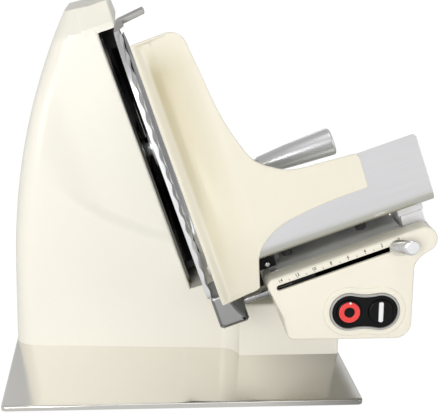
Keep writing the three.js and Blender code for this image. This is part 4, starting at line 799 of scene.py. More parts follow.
def turned(profile, centre, axis, radius=0.5, facets=None, lay=sloped):
    """A profile of [radius, along] pairs turned about an axis through a point: verts and faces."""
    facets = facets or SIZES.spin_facets
    line = eased(profile, radius)
    axis = np.array(axis, float)
    side = np.array([0, 1, 0]) if abs(axis[1]) < 0.5 else np.array([1, 0, 0])
    other = np.cross(axis, side)
    verts, rows, faces = [], [], []
    for r, along in line:
        row = []
        middle = np.array(centre, float) + axis * along
        if r < 1e-6:
            row = [len(verts)] * facets
            verts.append(middle)
        else:
            for i in range(facets):
                angle = 2 * math.pi * i / facets
                row.append(len(verts))
                verts.append(middle + r * (side * math.cos(angle) + other * math.sin(angle)))
        rows.append(row)
    for low, high in zip(rows, rows[1:]):
        for i in range(facets):
            j = (i + 1) % facets
            face = list(dict.fromkeys((low[i], low[j], high[j], high[i])))
            if len(face) > 2:
                faces.append(face)
    return lay(verts), faces


def merged(*parts):
    verts, faces = [], []
    for part_verts, part_faces in parts:
        base = len(verts)
        verts += [tuple(v) for v in part_verts]
        faces += [[base + i for i in face] for face in part_faces]
    return verts, faces


def refined(node, material, width=0.0006, sharp=30):
    """A finer skin for a plain solid: its own flat faces joined, and its edges rounded."""
    source = NODES[node]
    mesh = source.data.copy()
    mesh.name = node + "_skin"
    built = bmesh.new()
    built.from_mesh(mesh)
    bmesh.ops.remove_doubles(built, verts=built.verts, dist=1e-6)
    bmesh.ops.dissolve_limit(
        built, angle_limit=math.radians(0.6), verts=built.verts, edges=built.edges, delimit={"NORMAL"})
    built.to_mesh(mesh)
    built.free()
    mesh.materials.clear()
    mesh.materials.append(material)
    mesh.shade_smooth()
    mesh.set_sharp_from_angle(angle=math.radians(40))
    made = placed(mesh.name, mesh)
    rounding = made.modifiers.new("rounding", "BEVEL")
    rounding.width = width
    rounding.segments = 3
    rounding.limit_method = "ANGLE"
    rounding.angle_limit = math.radians(sharp)
    made.modifiers.new("shading", "WEIGHTED_NORMAL").keep_sharp = True
    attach(made, source["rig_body"])
    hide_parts(node)
    return made


def repaint(made, material, chosen):
    """Gives a second finish to the faces that a test of their middles and normals picks."""
    mesh = made.data
    count = len(mesh.polygons)
    middles, normals = np.empty(count * 3), np.empty(count * 3)
    mesh.polygons.foreach_get("center", middles)
    mesh.polygons.foreach_get("normal", normals)
    mesh.materials.append(material)
    slots = np.empty(count, np.int32)
    mesh.polygons.foreach_get("material_index", slots)
    slots[chosen(middles.reshape(-1, 3) * MM - ORIGIN, normals.reshape(-1, 3))] = len(mesh.materials) - 1
    mesh.polygons.foreach_set("material_index", slots)
    return made


# Booleans on plain verts and faces
def stored(shape, name="scratch"):
    mesh = bpy.data.meshes.new(name)
    mesh.from_pydata([tuple(v) for v in shape[0]], [], [tuple(f) for f in shape[1]])
    mended(mesh)
    return placed(name, mesh)


def carved(shape, operation, *tools):
    """The shape with each tool joined, cut away or met, as verts and faces."""
    target = stored(shape)
    helpers = [stored(tool, "tool") for tool in tools]
    for helper in helpers:
        step = target.modifiers.new("step", "BOOLEAN")
        step.operation = operation
        step.object = helper
        step.solver = "EXACT"
    evaluated = target.evaluated_get(bpy.context.evaluated_depsgraph_get())
    mesh = bpy.data.meshes.new_from_object(evaluated)
    result = [tuple(v.co) for v in mesh.vertices], [tuple(p.vertices) for p in mesh.polygons]
    for made in [target, *helpers]:
        old = made.data
        bpy.data.objects.remove(made)
        bpy.data.meshes.remove(old)
    bpy.data.meshes.remove(mesh)
    return result


def block(low, high, lay=upright):
    """A plain block, for cutting."""
    verts = [(x, y, z) for x in (low[0], high[0]) for y in (low[1], high[1]) for z in (low[2], high[2])]
    faces = [(0, 1, 3, 2), (4, 6, 7, 5), (0, 4, 5, 1), (2, 3, 7, 6), (0, 2, 6, 4), (1, 5, 7, 3)]
    return lay(verts), faces


def rod(centre, axis, radius, start, end, lay=sloped, rim=0.6, facets=48):
    return turned([(0, start), (radius, start), (radius, end), (0, end)], centre, axis, rim, facets, lay)


def screw(centre, axis, radius, lay=sloped):
    """A pan head with a cross recess. It stands on the centre and rises along the axis."""
    height = radius * 0.62
    head = turned(
        [(0, -0.8), (radius * 0.55, -0.8), (radius * 0.55, 0), (radius, 0), (radius, height * 0.35),
         (radius * 0.72, height * 0.92), (0, height)], centre, axis, radius * 0.3, 28, lay)
    axis = np.array(axis, float)
    side = np.array(ALONG_DEPTH if abs(axis[1]) < 0.5 else ALONG_OUT, float)
    other = np.cross(axis, side)
    tools = []
    for long, short in ((side, other), (other, side)):
        corners = [np.array(centre) + axis * height * h + long * radius * 0.5 * a + short * radius * 0.12 * b
                   for a in (-1, 1) for b in (-1, 1) for h in (0.4, 1.5)]
        tools.append((lay(corners), block((0, 0, 0), (1, 1, 1))[1]))
    return carved(head, "DIFFERENCE", *tools)


class MakeBase(bpy.types.Operator):
    """Builds the base plate and its four feet"""
    bl_idname = "slicer.make_base"
    bl_label = "Base and feet"

    def execute(self, context):
        rim = SIZES.rim * MM
        corner, thick, low_rim = 5, 5, 0.9
        outline = rounded_box(-BASE_LEFT, BASE_FRONT, BASE_RIGHT, BASE_BACK, corner, 8)
        plate = slab(outline, [], 0, thick, rim, low_rim, over_plan)
        piece("base_plate_skin", *plate, base_steel(), "frame", "polished_steel", ["base_plate"])
        for node in ("foot_front_left", "foot_front_right", "foot_rear_left", "foot_rear_right"):
            low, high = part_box(node)
            middle = np.array((low + high) / 2) * MM - ORIGIN
            profile = [(0, -14), (3.4, -14), (3.4, -15.8), (6.5, -15.8), (6.5, -17.3), (11.6, -17.3),
                       (12.6, -16.2), (14.4, -9.0), (15, -8.2), (15, -5.3), (0, -5.3)]
            foot = turned(profile, (middle[0], middle[1], 0), ALONG_UP, 0.9, 64, upright)
            piece(node + "_skin", *foot, black_rubber(), "frame", "black_rubber", [node])
        return {"FINISHED"}


# The housing's form
FRONT_LEFT, FRONT_STEP, BACK, FACE_OUT = 138, 121, 318, 105
LEFT = -90.5
CROWN_LEFT, CROWN_UP, CHAMFER = 341, 331, 20
FACE_FOOT = -FACE_OUT * math.tan(TILT)


def eased_step(value):
    value = np.clip(value, 0, 1)
    return value * value * (3 - 2 * value)


def back_edge(z):
    return LEFT + 53 * (max(0, z - 71) / (CROWN_LEFT - 71)) ** 2.2


def plain_front(x):
    return FRONT_LEFT + (FRONT_STEP - FRONT_LEFT) * (x - LEFT) / (119 - LEFT)


def front_depth(x, z):
    out, up = to_slope(x, z)
    away = FACE_OUT - out
    crease = 78.5 + 0.6 * away + away ** 2 / 269
    return plain_front(x) + 5.5 * eased_step((up - crease) / 15) * eased_step((out - 2) / 50)


def fin(inset, levels, mids, arcs):
    loops = []
    chamfer_share = 1 - CHAMFER / (CROWN_UP - FACE_FOOT)
    shares = [chamfer_share * i / levels for i in range(levels + 1)] + [1 - inset / CROWN_LEFT]
    for share in shares:
        left_z = share * CROWN_LEFT
        left = np.array([back_edge(left_z) + inset, left_z])
        right = np.array(from_slope(FACE_OUT - inset, FACE_FOOT + (CROWN_UP - FACE_FOOT) * share))
        width = math.dist(left, right)
        radius = min(18, width / 3)
        stations = [(radius * (1 - math.cos(a)), radius * (1 - math.sin(a)))
                    for a in np.linspace(0, math.pi / 2, arcs + 1)]
        stations += [(radius + (width - 3 - radius) * i / mids, 0) for i in range(1, mids)]
        stations += [(width - 3 * (1 - math.cos(a)), 3 * (1 - math.sin(a)))
                     for a in np.linspace(math.pi / 2, 0, 5)]
        front, back = [], []
        for along, drawn in stations:
            x, z = left + (right - left) * along / width
            chamfer = max(0, to_slope(x, z)[1] - CROWN_UP + CHAMFER)
            front.append((x, front_depth(x, z) + inset + chamfer + drawn, z))
            back.append((x, BACK - inset - chamfer - drawn, z))
        loops.append(front + back[::-1])
    if inset:
        loops.insert(0, [(x, y, z - 4) for x, y, z in loops[0]])
    count = len(loops[0])
    verts = [point for loop in loops for point in loop]
    faces = [(row + i, row + (i + 1) % count, row + count + (i + 1) % count, row + count + i)
             for row in range(0, (len(loops) - 1) * count, count) for i in range(count)]
    faces += [tuple(range(count)), tuple(range((len(loops) - 1) * count, len(loops) * count))[::-1]]
    return upright(verts), faces


def block_outline(inset):
    middle = 128
    step = wave((119, FRONT_STEP + inset), (middle, FRONT_STEP + inset), (137, 110.25 + inset),
                (137 + inset, 99.5 + inset), 24)
    right = 238.6 - inset
    return [(70, plain_front(70) + inset + 3), (84, plain_front(84) + inset - 0.1), *step,
            *arc(right - 3, 102.5 + inset, 3, -90, 0, 6), *arc(right - 3, BACK - inset - 3, 3, 0, 90, 6),
            (70, BACK - inset)]


class MakeHousing(bpy.types.Operator):
    """Builds the motor housing with its air slots and cord inlet"""
    bl_idname = "slicer.make_housing"
    bl_label = "Motor housing"

    def execute(self, context):
        wall, block_height = 5, 54
        low_block = slab(block_outline(0), [], -block_height, 0, 3, 0, over_plan, None, 6)
        ramp = carved(slab(block_outline(0.06), [], -90, -2, 0, 0, over_plan), "INTERSECT",
                      block((60, 50, -60), (150, 400, 30), sloped))
        front = front_depth(*from_slope(FACE_OUT, CROWN_UP))
        hood_loop = [(front, 304.5), (front, CROWN_UP - CHAMFER), (front + CHAMFER, CROWN_UP),
                     (BACK - CHAMFER, CROWN_UP), (BACK, CROWN_UP - CHAMFER), (BACK, 304.5)]
        hood = slab(hood_loop, [], 88, 123, 2.5, 2.5, beside_slope)
        outer = carved(fin(0, 66, 44, 8), "UNION", low_block, hood, ramp)
        inner_block = slab(block_outline(wall), [], wall - block_height, 4, 0, 0, over_plan)
        hollow = carved(fin(wall, 16, 8, 3), "UNION", inner_block)
        slots, first, pitch, half = 7, -52, 13, 2.25
        vents = []
        for x in range(first, first + pitch * slots, pitch):
            vents.append(slab(rounded_box(x - half, 34, x + half, 92, 2.2, 5), [], 308, 322, 0, 0, facing))
        holes = [rod(SPINDLE, ALONG_OUT, SHAFT_HOLE, 95, 109, sloped, 0, 64),
                 rod(INLET, ALONG_DEPTH, 7.3, 309, 322, upright, 0)]
        shell = carved(outer, "DIFFERENCE", hollow, *vents, *holes)
        made = piece("main_housing_skin", *shell, housing_enamel(), "frame", "body_cream",
                     ["main_housing"], 28)
        made.modifiers.new("shading", "WEIGHTED_NORMAL").keep_sharp = True
        profile = [(0, 309), (7, 309), (7, 318.3), (10, 318.3), (9.4, 322.5), (7, 327), (3.9, 327),
                   (3.9, 316), (0, 316)]
        inlet = turned(profile, INLET, ALONG_DEPTH, 0.7, 48, upright)
        piece("cord_inlet_skin", *inlet, black_moulding(), "frame", "black_plastic", ["cord_inlet"])
        return {"FINISHED"}


class MakeBladeGroup(bpy.types.Operator):
    """Builds the side plate, guard ring, blade, cover and shaft, and the belt drive with its motor"""
    bl_idname = "slicer.make_blade"
    bl_label = "Blade, guard ring and cover"

    def execute(self, context):
        bore = circle(BLADE_DEPTH, BLADE_UP, SHAFT_HOLE, 64)
        side = slab(rounded_box(134, 31, 313, 304.2, 8, 8), [bore], 106.8, 105.3, 0.4, 0.3, beside_slope)
        piece("side_plate_skin", *side, side_steel(), "frame", "polished_steel", ["side_plate"])
        ring_outer, ring_inner, reach = 134.5, 127.6, 180 - 67
        outer = arc(BLADE_DEPTH, BLADE_UP, ring_outer, -reach, reach, 72)
        inner = arc(BLADE_DEPTH, BLADE_UP, ring_inner, reach, -reach, 72)
        ring = slab(outer + inner, [], 121.1, 107.1, 1.2, 0.5, beside_slope)
        # Painted shade: the guard ring takes the near-black steel, and its rims the black moulding, so that
        # it reads as shade in the gap beside the blade.
        made = piece("blade_guard_ring_skin", *ring, side_steel(), "frame", "satin_aluminium",
                     ["blade_guard_ring"])
        repaint(made, black_moulding(), lambda middle, normal: np.abs((normal @ SLOPE.T)[:, 0]) < 0.6)
        profile = [(11, -7.5), (108.5, -7.5), (121, -2.5), (125, -0.02), (106, 0), (103.5, -5), (11, -5),
                   (11, -7.5)]
        blade = turned(profile, BLADE_PLANE, ALONG_OUT, 0.25, SIZES.spin_facets * 2)
        piece("blade_skin", *blade, blade_steel(), "blade_set", "blade_steel", ["blade"], 20)
        cover = turned([(0, -4.4), (102, -4.4), (102, -2.7), (98.6, -1.0), (40, -0.2), (16, 0.2), (0, 0.2)],
                       BLADE_PLANE, ALONG_OUT, 1.2, SIZES.spin_facets * 2)
        piece("blade_cover_skin", *cover, tray_aluminium(), "frame", "satin_aluminium", ["blade_cover"], 20)
        bore_radius, radius, flange_radius, seat_radius = 4.6, 12, 30, 10.7
        start, flange, flange_thick, end = 28, 118.2, 5, 120.4
        profile = [(bore_radius, start), (radius, start), (radius, flange - flange_thick),
                   (flange_radius, flange - flange_thick), (flange_radius, flange), (seat_radius, flange),
                   (seat_radius, end), (bore_radius, end), (bore_radius, start)]
        shaft = turned(profile, SPINDLE, ALONG_OUT, 0.4, 64)
        piece("blade_shaft_skin", *shaft, blade_steel(), "blade_set", "blade_steel", ["blade_shaft"])
        for node, material, slot in (
                ("bearing_carrier", cast_metal(), "cast_grey"),
                ("outer_bearing", turned_steel(), "blade_steel"),
                ("inner_bearing", turned_steel(), "blade_steel"),
                ("cover_tie_rod", turned_steel(), "blade_steel"),
                ("driven_pulley", cast_metal(), "cast_grey"),
                ("drive_pulley", cast_metal(), "cast_grey"),
                ("drive_belt", black_rubber(), "black_rubber"),
                ("motor_can", motor_paint(), "motor_paint"),
                ("motor_rotor", turned_steel(), "blade_steel"),
                ("motor_bracket", cast_metal(), "cast_grey")):
            refined(node, material)
        return {"FINISHED"}


def bowed_plate_outline():
    reach, middle = 128.5, 57
    half = math.degrees(math.acos(middle / reach))
    sweep = [(98 - 83 * math.cos(a), 240 + 72 * math.sin(a)) for a in np.linspace(0, math.pi / 2, 24)]
    return cleaned([*bow((23, 50), (15, 50), (15, 58)), *sweep, (98, 314), (129, 314), (129, 299), (148, 299),
                    *arc(BLADE_DEPTH, BLADE_UP, reach, 180 - half, 180 + half, 40), (148, 50)])


class MakeThicknessPlate(bpy.types.Operator):
    """Builds the ribbed thickness plate, its carrier and the rod that moves it"""
    bl_idname = "slicer.make_thickness_plate"
    bl_label = "Thickness plate"

    def execute(self, context):
        pitch = SIZES.rib_pitch * MM
        ribs, steps, rib_height = 14, 18, 1.6
        back, face = 121.5, 124.4
        profile = [(back, 46), (face, 46)]
        for i in range(ribs * steps + 1):
            share = (1 - math.cos(2 * math.pi * i / steps)) / 2
            profile.append((face + rib_height * share, 50 + i / steps * pitch))
        profile += [*bow((face, 300), (124.8, 306.9), (132, 307.8)), (132, 313),
                    *bow((129, 312.7), (back, 312), (back, 302))]
        plate = carved(slab(profile, [], 0, 154, 0, 0, facing_slope), "INTERSECT",
                       slab(bowed_plate_outline(), [], back, 132, 0.6, 0, beside_slope))
        lip = [(129, 307.5), (151.8, 310.1), *bow((153.6, 310.4), (155.6, 313.2), (153.4, 315.4)),
               (129, 312.7)]
        plate = carved(plate, "UNION", slab(lip, [], 98, 129, 0.6, 0.6, facing_slope))
        made = piece("thickness_plate_skin", *plate, plate_aluminium(), "gauge", "satin_aluminium",
                     ["thickness_plate"], 25)
        repaint(made, plate_edge(), lambda middle, normal: normal[:, 1] < -0.35)
        # Painted shade: the lip and the plate's top take the darker, duller aluminium.
        repaint(made, lip_aluminium(), lambda middle, normal: (middle @ SLOPE.T)[:, 2] > 306)
        carrier = refined("plate_carrier", carrier_metal(), 0.0024)
        carrier.modifiers["rounding"].use_clamp_overlap = False
        # Painted shade: the carrier's right-facing faces take the darker cast metal.
        repaint(carrier, cast_metal(), lambda middle, normal: normal[:, 0] > 0.25)
        bar = rod((0, 45, 29), ALONG_OUT, 4, 138.3, 210, sloped, 0.5)
        piece("plate_rod_skin", *bar, rod_steel(), "gauge", "blade_steel", ["plate_rod"])
        refined("plate_crosshead", cast_metal())
        refined("plate_rod_bush", carrier_metal(), 0.0003)
        refined("cam_plate", turned_steel(), 0.0004)
        return {"FINISHED"}


# The control housing's outlines
NOSE_OUT, NOSE_UP, NOSE_RADIUS = 184, 47.5, 7.2
PANEL_LOW, PANEL_RIGHT, PANEL_CORNER = 54.3, 284.5, 15


def control_outline(inset, lobe):
    top_up = NOSE_UP + NOSE_RADIUS - inset
    tilt = math.degrees(TILT)
    nose = from_slope(NOSE_OUT, NOSE_UP)
    bend = (165.5 + inset, 75.7)
    to_bend = math.degrees(math.atan2(bend[1] - nose[1], bend[0] - nose[0]))
    reach = math.dist(bend, nose)
    nose_from = to_bend - math.degrees(math.acos((NOSE_RADIUS - inset) / reach)) + 360
    points = [from_slope(NOSE_OUT, top_up)]
    if lobe:
        centre = from_slope(GUIDE[0], GUIDE[2])
        points.append(from_slope(GUIDE[0], GUIDE[2] + 12))
        points += arc(*centre, 12, 90 + tilt, -60, 30)
        end = points[-1]
        pull = end[1] - (end[0] - PANEL_RIGHT) / math.tan(math.pi / 3)
        points += bow(end, (PANEL_RIGHT, pull), (PANEL_RIGHT, 121), 16)
    else:
        cut = GUIDE[0] - 14 - inset
        right = PANEL_RIGHT - inset
        points.append(from_slope(cut, top_up))
        points.append(from_slope(cut, (cut * COS - right) / SIN))
    points.append((PANEL_RIGHT - inset, PANEL_LOW + PANEL_CORNER))
    points += arc(PANEL_RIGHT - PANEL_CORNER, PANEL_LOW + PANEL_CORNER, PANEL_CORNER - inset, 0, -90, 16)
    heel = [(173 + inset, PANEL_LOW + inset), (170 + inset, 57.6 + inset)]
    points += bow((177 + inset, PANEL_LOW + inset), heel[0], heel[1], 6)
    points += bow((168.3 + inset, 64.4), (166 + inset, 71.6), (165.3 + inset, 76.0), 6)
    points += arc(*nose, NOSE_RADIUS - inset, nose_from - 3, 90 + tilt, 18)
    return cleaned(points)


def peanut(radius):
    """Two lobes round the buttons, joined by a waist."""
    half, lobe, waist = 14.55, 15.5, 13.9
    curve = (half ** 2 + waist ** 2 - lobe ** 2) / (2 * (lobe - waist))
    apart = waist + curve
    meet = 180 - math.degrees(math.atan2(apart, half))
    inner = curve - (radius - lobe)
    return cleaned(
        arc(SWITCH_X + half, SWITCH_Z, radius, -meet, meet, 28)
        + arc(SWITCH_X, SWITCH_Z + apart, inner, meet - 180, -meet, 14)
        + arc(SWITCH_X - half, SWITCH_Z, radius, 180 - meet, 180 + meet, 28)
        + arc(SWITCH_X, SWITCH_Z - apart, inner, meet, 180 - meet, 14))


def slot_outline():
    return [from_slope(*point) for point in rounded_box(184.3, 42.3, 312.1, 47.5, 2.55, 10)]


class MakeControlHousing(bpy.types.Operator):
    """Builds the control housing with its front panel and polished top plate"""
    bl_idname = "slicer.make_control_housing"
    bl_label = "Control housing"

    def execute(self, context):
        rim = SIZES.cast_rim * MM
        outline = control_outline(0, True)
        thick, opening = 3.2, peanut(18)
        wall = slab(outline, [slot_outline(), opening], 0, thick, [rim, 0.5, 0.4], 0, facing, None, 6)
        ring = slab(outline, [control_outline(thick, False)], 3, 20, 0, 0.4, facing)
        collar = slab(peanut(23.5), [opening], -1.6, 2.0, [1.5, 0.5], 0, facing, None, 6)
        panel = carved(merged(ring), "UNION", wall, collar)
        panel = carved(panel, "DIFFERENCE", rod(GUIDE, ALONG_DEPTH, 5.8, 6, 24, sloped, 0))
        piece("front_panel_skin", *panel, panel_moulding(), "frame", "panel_cream", ["front_panel"], 30)
        shell = refined("control_housing", housing_enamel(), 0.0009)
        # Painted shade: the faces inside the control housing take the near-black finish.
        hollow = control_outline(1.9, False)
        repaint(shell, inner_black(), lambda middle, normal: (
            inside(hollow, middle[:, [0, 2]]) & (middle[:, 1] > 21) & (middle[:, 1] < 287)))
        top = slab(rounded_box(184, 20.3, 311.2, 287.7, 2, 4), [], 54.7, 53.2, 0.4, 0.2, over_slope)
        piece("housing_top_plate_skin", *top, top_steel(), "frame", "polished_steel", ["housing_top_plate"])
        return {"FINISHED"}


def leaned(points):
    """Slope places, drawn out to the right the nearer they stand, as the knob leans."""
    points = np.array(points, float)
    points[:, 0] -= (points[:, 1] + 1.3) * 0.80
    return sloped(points)


class MakeSlider(bpy.types.Operator):
    """Builds the thickness knob, its slider and the scale with its numbers"""
    bl_idname = "slicer.make_slider"
    bl_label = "Knob and scale"

    def execute(self, context):
        profile = [(0, -1.3), (7.5, -1.3), (7.7, -2.4), (7.1, -13.8), (5.8, -15.3), (0, -15.4)]
        knob = turned(profile, (299.2, 0, 44.9), ALONG_DEPTH, 1.3, 72, leaned)
        made = piece("thickness_knob_skin", *knob, knob_chrome(), "knob_set", "knob_chrome",
                     ["thickness_knob"], 30)
        repaint(made, bar_aluminium(), lambda middle, normal: middle[:, 1] < -15.2)
        refined("thickness_slider", black_moulding(), 0.0003)
        strip = slab(rounded_box(184.3, 48.6, 306, 54, 0.45, 4), [], -0.8, -0.3, 0.15, 0, facing_slope)
        piece("scale_strip_skin", *strip, panel_moulding(), "frame", "panel_cream", ["scale_strip"])
        first, travel, steps = 302.6, 113, 14
        foot, half = 49.0, 0.22
        marks = []
        for step in range(steps + 1):
            out = first - step * travel / steps
            top = foot + (1.6 if step % 2 else 1.1)
            marks.append(slab([(out - half, foot), (out + half, foot), (out + half, top), (out - half, top)],
                              [], -0.84, -0.7, 0, 0, facing_slope))
        size = SIZES.scale_text * MM * 0.85
        for number in range(0, steps + 1, 2):
            marks.append(lettering(str(number), first - number * travel / steps, 50.5, size))
        piece("scale_marks", *merged(*marks), scale_ink(), "frame", "black_plastic")
        return {"FINISHED"}


def lettering(text, out, up, height):
    """Plain type on the scale strip, as verts and faces."""
    curve = bpy.data.curves.new("type", "FONT")
    curve.body = text
    curve.size = height / 0.7
    curve.align_x = "CENTER"
    curve.extrude = 0.08
    curve.offset = 0.06
    made = placed("type", curve)
    mesh = bpy.data.meshes.new_from_object(made.evaluated_get(bpy.context.evaluated_depsgraph_get()))
    verts = sloped([(out + v.co.x, -0.78 - v.co.z, up + v.co.y) for v in mesh.vertices])
    faces = [tuple(p.vertices) for p in mesh.polygons]
    bpy.data.objects.remove(made)
    bpy.data.curves.remove(curve)
    bpy.data.meshes.remove(mesh)
    return verts, faces


class MakeSwitch(bpy.types.Operator):
    """Builds the switch with its bezel, two buttons and their marks"""
    bl_idname = "slicer.make_switch"
    bl_label = "Switch"

    def execute(self, context):
        button_front = [(0, -2.6), (4, -2.7), (9.6, -3.0), (11.2, -2.6), (11.2, 6), (0, 6)]
        bezel = slab(peanut(17.7), [peanut(15.8)], -3.0, 3.2, [0.85, 0.6], 0, facing, None, 5)
        piece("switch_bezel_skin", *bezel, bezel_grey(), "frame", "switch_grey", ["switch_bezel"])
        holes = [circle(x, SWITCH_Z, 11.5, 48) for x in (OFF_X, ON_X)]
        plate = slab(peanut(15.5), holes, -1.6, 0.8, [0.5, 0.4, 0.4], 0, facing)
        piece("switch_plate_skin", *plate, black_moulding(), "frame", "black_plastic", ["switch_plate"])
        for name, x, body in (("off_button", OFF_X, "off_press"), ("on_button", ON_X, "on_press")):
            button = turned(button_front, (x, 0, SWITCH_Z), ALONG_DEPTH, 0.6, 64, upright)
            piece(name + "_skin", *button, button_gloss(), body, "black_plastic", [name])
        profile = [(4.9, -2.5), (4.9, -3.5), (5.4, -3.8), (9.2, -3.8), (9.7, -3.5), (9.7, -2.5), (4.9, -2.5)]
        ring = turned(profile, (OFF_X, 0, SWITCH_Z), ALONG_DEPTH, 0.3, 72, upright)
        piece("off_ring_skin", *ring, mark_red(), "off_press", "mark_red", ["off_ring"])
        outline = rounded_box(252.4, SWITCH_Z - 9.4, 256.6, SWITCH_Z + 9.4, 1.3, 5)
        bar = slab(outline, [], -3.8, -2.7, 0.3, 0, facing)
        piece("on_bar_skin", *bar, mark_white(), "on_press", "mark_white", ["on_bar"])
        profile = [(0, -4.1), (1.0, -4.05), (1.1, -3.6), (1.1, -2.9), (0, -2.9)]
        dot = turned(profile, (225.9, 0, SWITCH_Z + 8.9), ALONG_DEPTH, 0.2, 24, upright)
        piece("off_ring_dot", *dot, mark_white(), "off_press", "mark_white")
        refined("switch_body", black_moulding())
        refined("relay_box", relay_green(), 0.0012)
        return {"FINISHED"}


class MakeTray(bpy.types.Operator):
    """Builds the tray and its two pads"""
    bl_idname = "slicer.make_tray"
    bl_label = "Tray"

    def execute(self, context):
        line = [(0.4, 140.3), *bow((0.4, 84), (1.9, 74.5), (10.4, 74.5), 14),
                *bow((187, 74.5), (190, 74.5), (190, 77.5)), (190, 88), (187, 88),
                *bow((187, 79.5), (187, 77.5), (185, 77.5)),
                *bow((10.4, 77.5), (4.6, 77.5), (3.4, 85.5), 14), (3.4, 140.3)]
        sheet = slab(line, [], 131, 345, 0.5, 0.5, beside_slope)
        right, top, corner, low_corner = 345.2, 140.5, 6, 3
        outline = cleaned([(120, 60), *arc(right - low_corner, 63, low_corner, -90, 0, 4),
                           *arc(right - corner, top - corner, corner, 0, 90, 10), (120, top)])
        trim = slab(outline, [], -5, 300, 0, 0, facing_slope)
        tray = carved(sheet, "INTERSECT", trim)
        tray = carved(tray, "DIFFERENCE", block((120, -5, 86), (181.6, 4.6, 142), sloped))
        piece("tray_skin", *tray, tray_aluminium(), "carriage", "satin_aluminium", ["tray"], 25)
        profile = [(0, 66.2), (4.2, 66.2), (5, 67), (5, 74.2), (0, 74.2)]
        for node, out in (("tray_pad_left", 205), ("tray_pad_right", 276)):
            pad = turned(profile, (out, 20, 0), ALONG_UP, 0.5, 40)
            piece(node + "_skin", *pad, black_rubber(), "carriage", "black_rubber", [node])
        return {"FINISHED"}


def guard_outline():
    return cleaned([
        *bow((133, 52), (133, 50), (135, 50), 4), (160, 50), *bow((160, 50), (171, 50), (171, 55)),
        *bow((176.5, 74), (179.5, 85), (188, 91)), *bow((188, 91), (202, 103), (227, 105)),
        *bow((227, 105), (249, 108), (269, 108)), *bow((289.5, 108), (290.5, 108), (290.5, 109), 3),
        *bow((291, 132), (291, 141.3), (287, 141.3)), (242, 144.7),
        *bow((242, 144.7), (227, 145.7), (216, 154), 14), *bow((216, 154), (199.7, 163), (195.7, 180), 14),
        *bow((195.7, 180), (188, 202), (185, 228), 14), (179.6, 282),
        *bow((179.6, 282), (178.2, 297), (163, 297)), *bow((135, 297), (133, 297), (133, 295), 4)])


def guard_front(out, up, low=2.6):
    """The front of the guard: a lip at the left, and beside it a valley that is deepest halfway up."""
    lip = eased_step((141 - out) / 6)
    valley = np.where(out < 152, eased_step((out - 138) / 14), eased_step((186 - out) / 34))
    rise = eased_step((up - 84) / 116)
    closing = eased_step((303 - up) / 55)
    return -4 - 5 * lip + valley * (13 * rise * closing + low * (1 - rise))


def guard_back(out, up):
    return guard_front(out, up, 0) + 4


class MakeGuard(bpy.types.Operator):
    """Builds the hand guard with its valley and lip"""
    bl_idname = "slicer.make_guard"
    bl_label = "Hand guard"

    def execute(self, context):
        rim = SIZES.rim * MM
        sheet = slab(guard_outline(), [], guard_front, guard_back, rim, 1.0, facing_slope, (2.0, 4.0), 5)
        made = piece("hand_guard_skin", *sheet, guard_enamel(), "carriage", "guard_cream", ["hand_guard"], 50)
        made.modifiers.new("shading", "WEIGHTED_NORMAL").keep_sharp = True
        return {"FINISHED"}


class MakeCarriage(bpy.types.Operator):
    """Builds the guide rod, the carriage arm with its bushes, the cross bar, roller and lift stop"""
    bl_idname = "slicer.make_carriage"
    bl_label = "Carriage"

    def execute(self, context):
        guide = rod(GUIDE, ALONG_DEPTH, 5.5, 6.3, 301.7, sloped, 0.6, 64)
        piece("carriage_rod_skin", *guide, turned_steel(), "frame", "blade_steel", ["carriage_rod"])
        bore = circle(GUIDE_OUT, GUIDE_UP, 8.3, 64)
        loop = cleaned([(336, GUIDE_UP), (336, 60.7), (335, 61.7), (316, 61.7), (315, 60.7), (315, 49.75),
                        *arc(GUIDE_OUT, GUIDE_UP, 12.7, 146, 394, 48)])
        arm = slab(loop, [bore], 28, 80, 0.8, 0.8, facing_slope)
        piece("carriage_arm_skin", *arm, bar_aluminium(), "carriage", "satin_aluminium", ["carriage_arm"])
        sleeve, hole = (circle(GUIDE_OUT, GUIDE_UP, radius, 64) for radius in (8, 5.58))
        for node, start, end in (("front_rod_bush", 26, 42), ("rear_rod_bush", 66, 82)):
            bush = slab(sleeve, [hole], start, end, 0.5, 0.5, facing_slope)
            piece(node + "_skin", *bush, black_moulding(), "carriage", "black_plastic", [node])
        refined("cross_bar", bar_aluminium(), 0.0008)
        profile = [(0, 182.8), (2, 182.8), (2, 187), (6.5, 187), (6.5, 195), (2, 195), (2, 199.2), (0, 199.2)]
        wheel = turned(profile, (0, 80, 61.5), ALONG_OUT, 0.7, 48)
        piece("roller_skin", *wheel, black_moulding(), "tray_roller", "black_plastic", ["roller"])
        refined("lift_stop", black_moulding(), 0.001)
        head = screw((184.2, 24, 61.9), (0, -1, 0), 2.5)
        piece("lift_stop_screw", *head, turned_steel(), "carriage", "black_plastic")
        return {"FINISHED"}


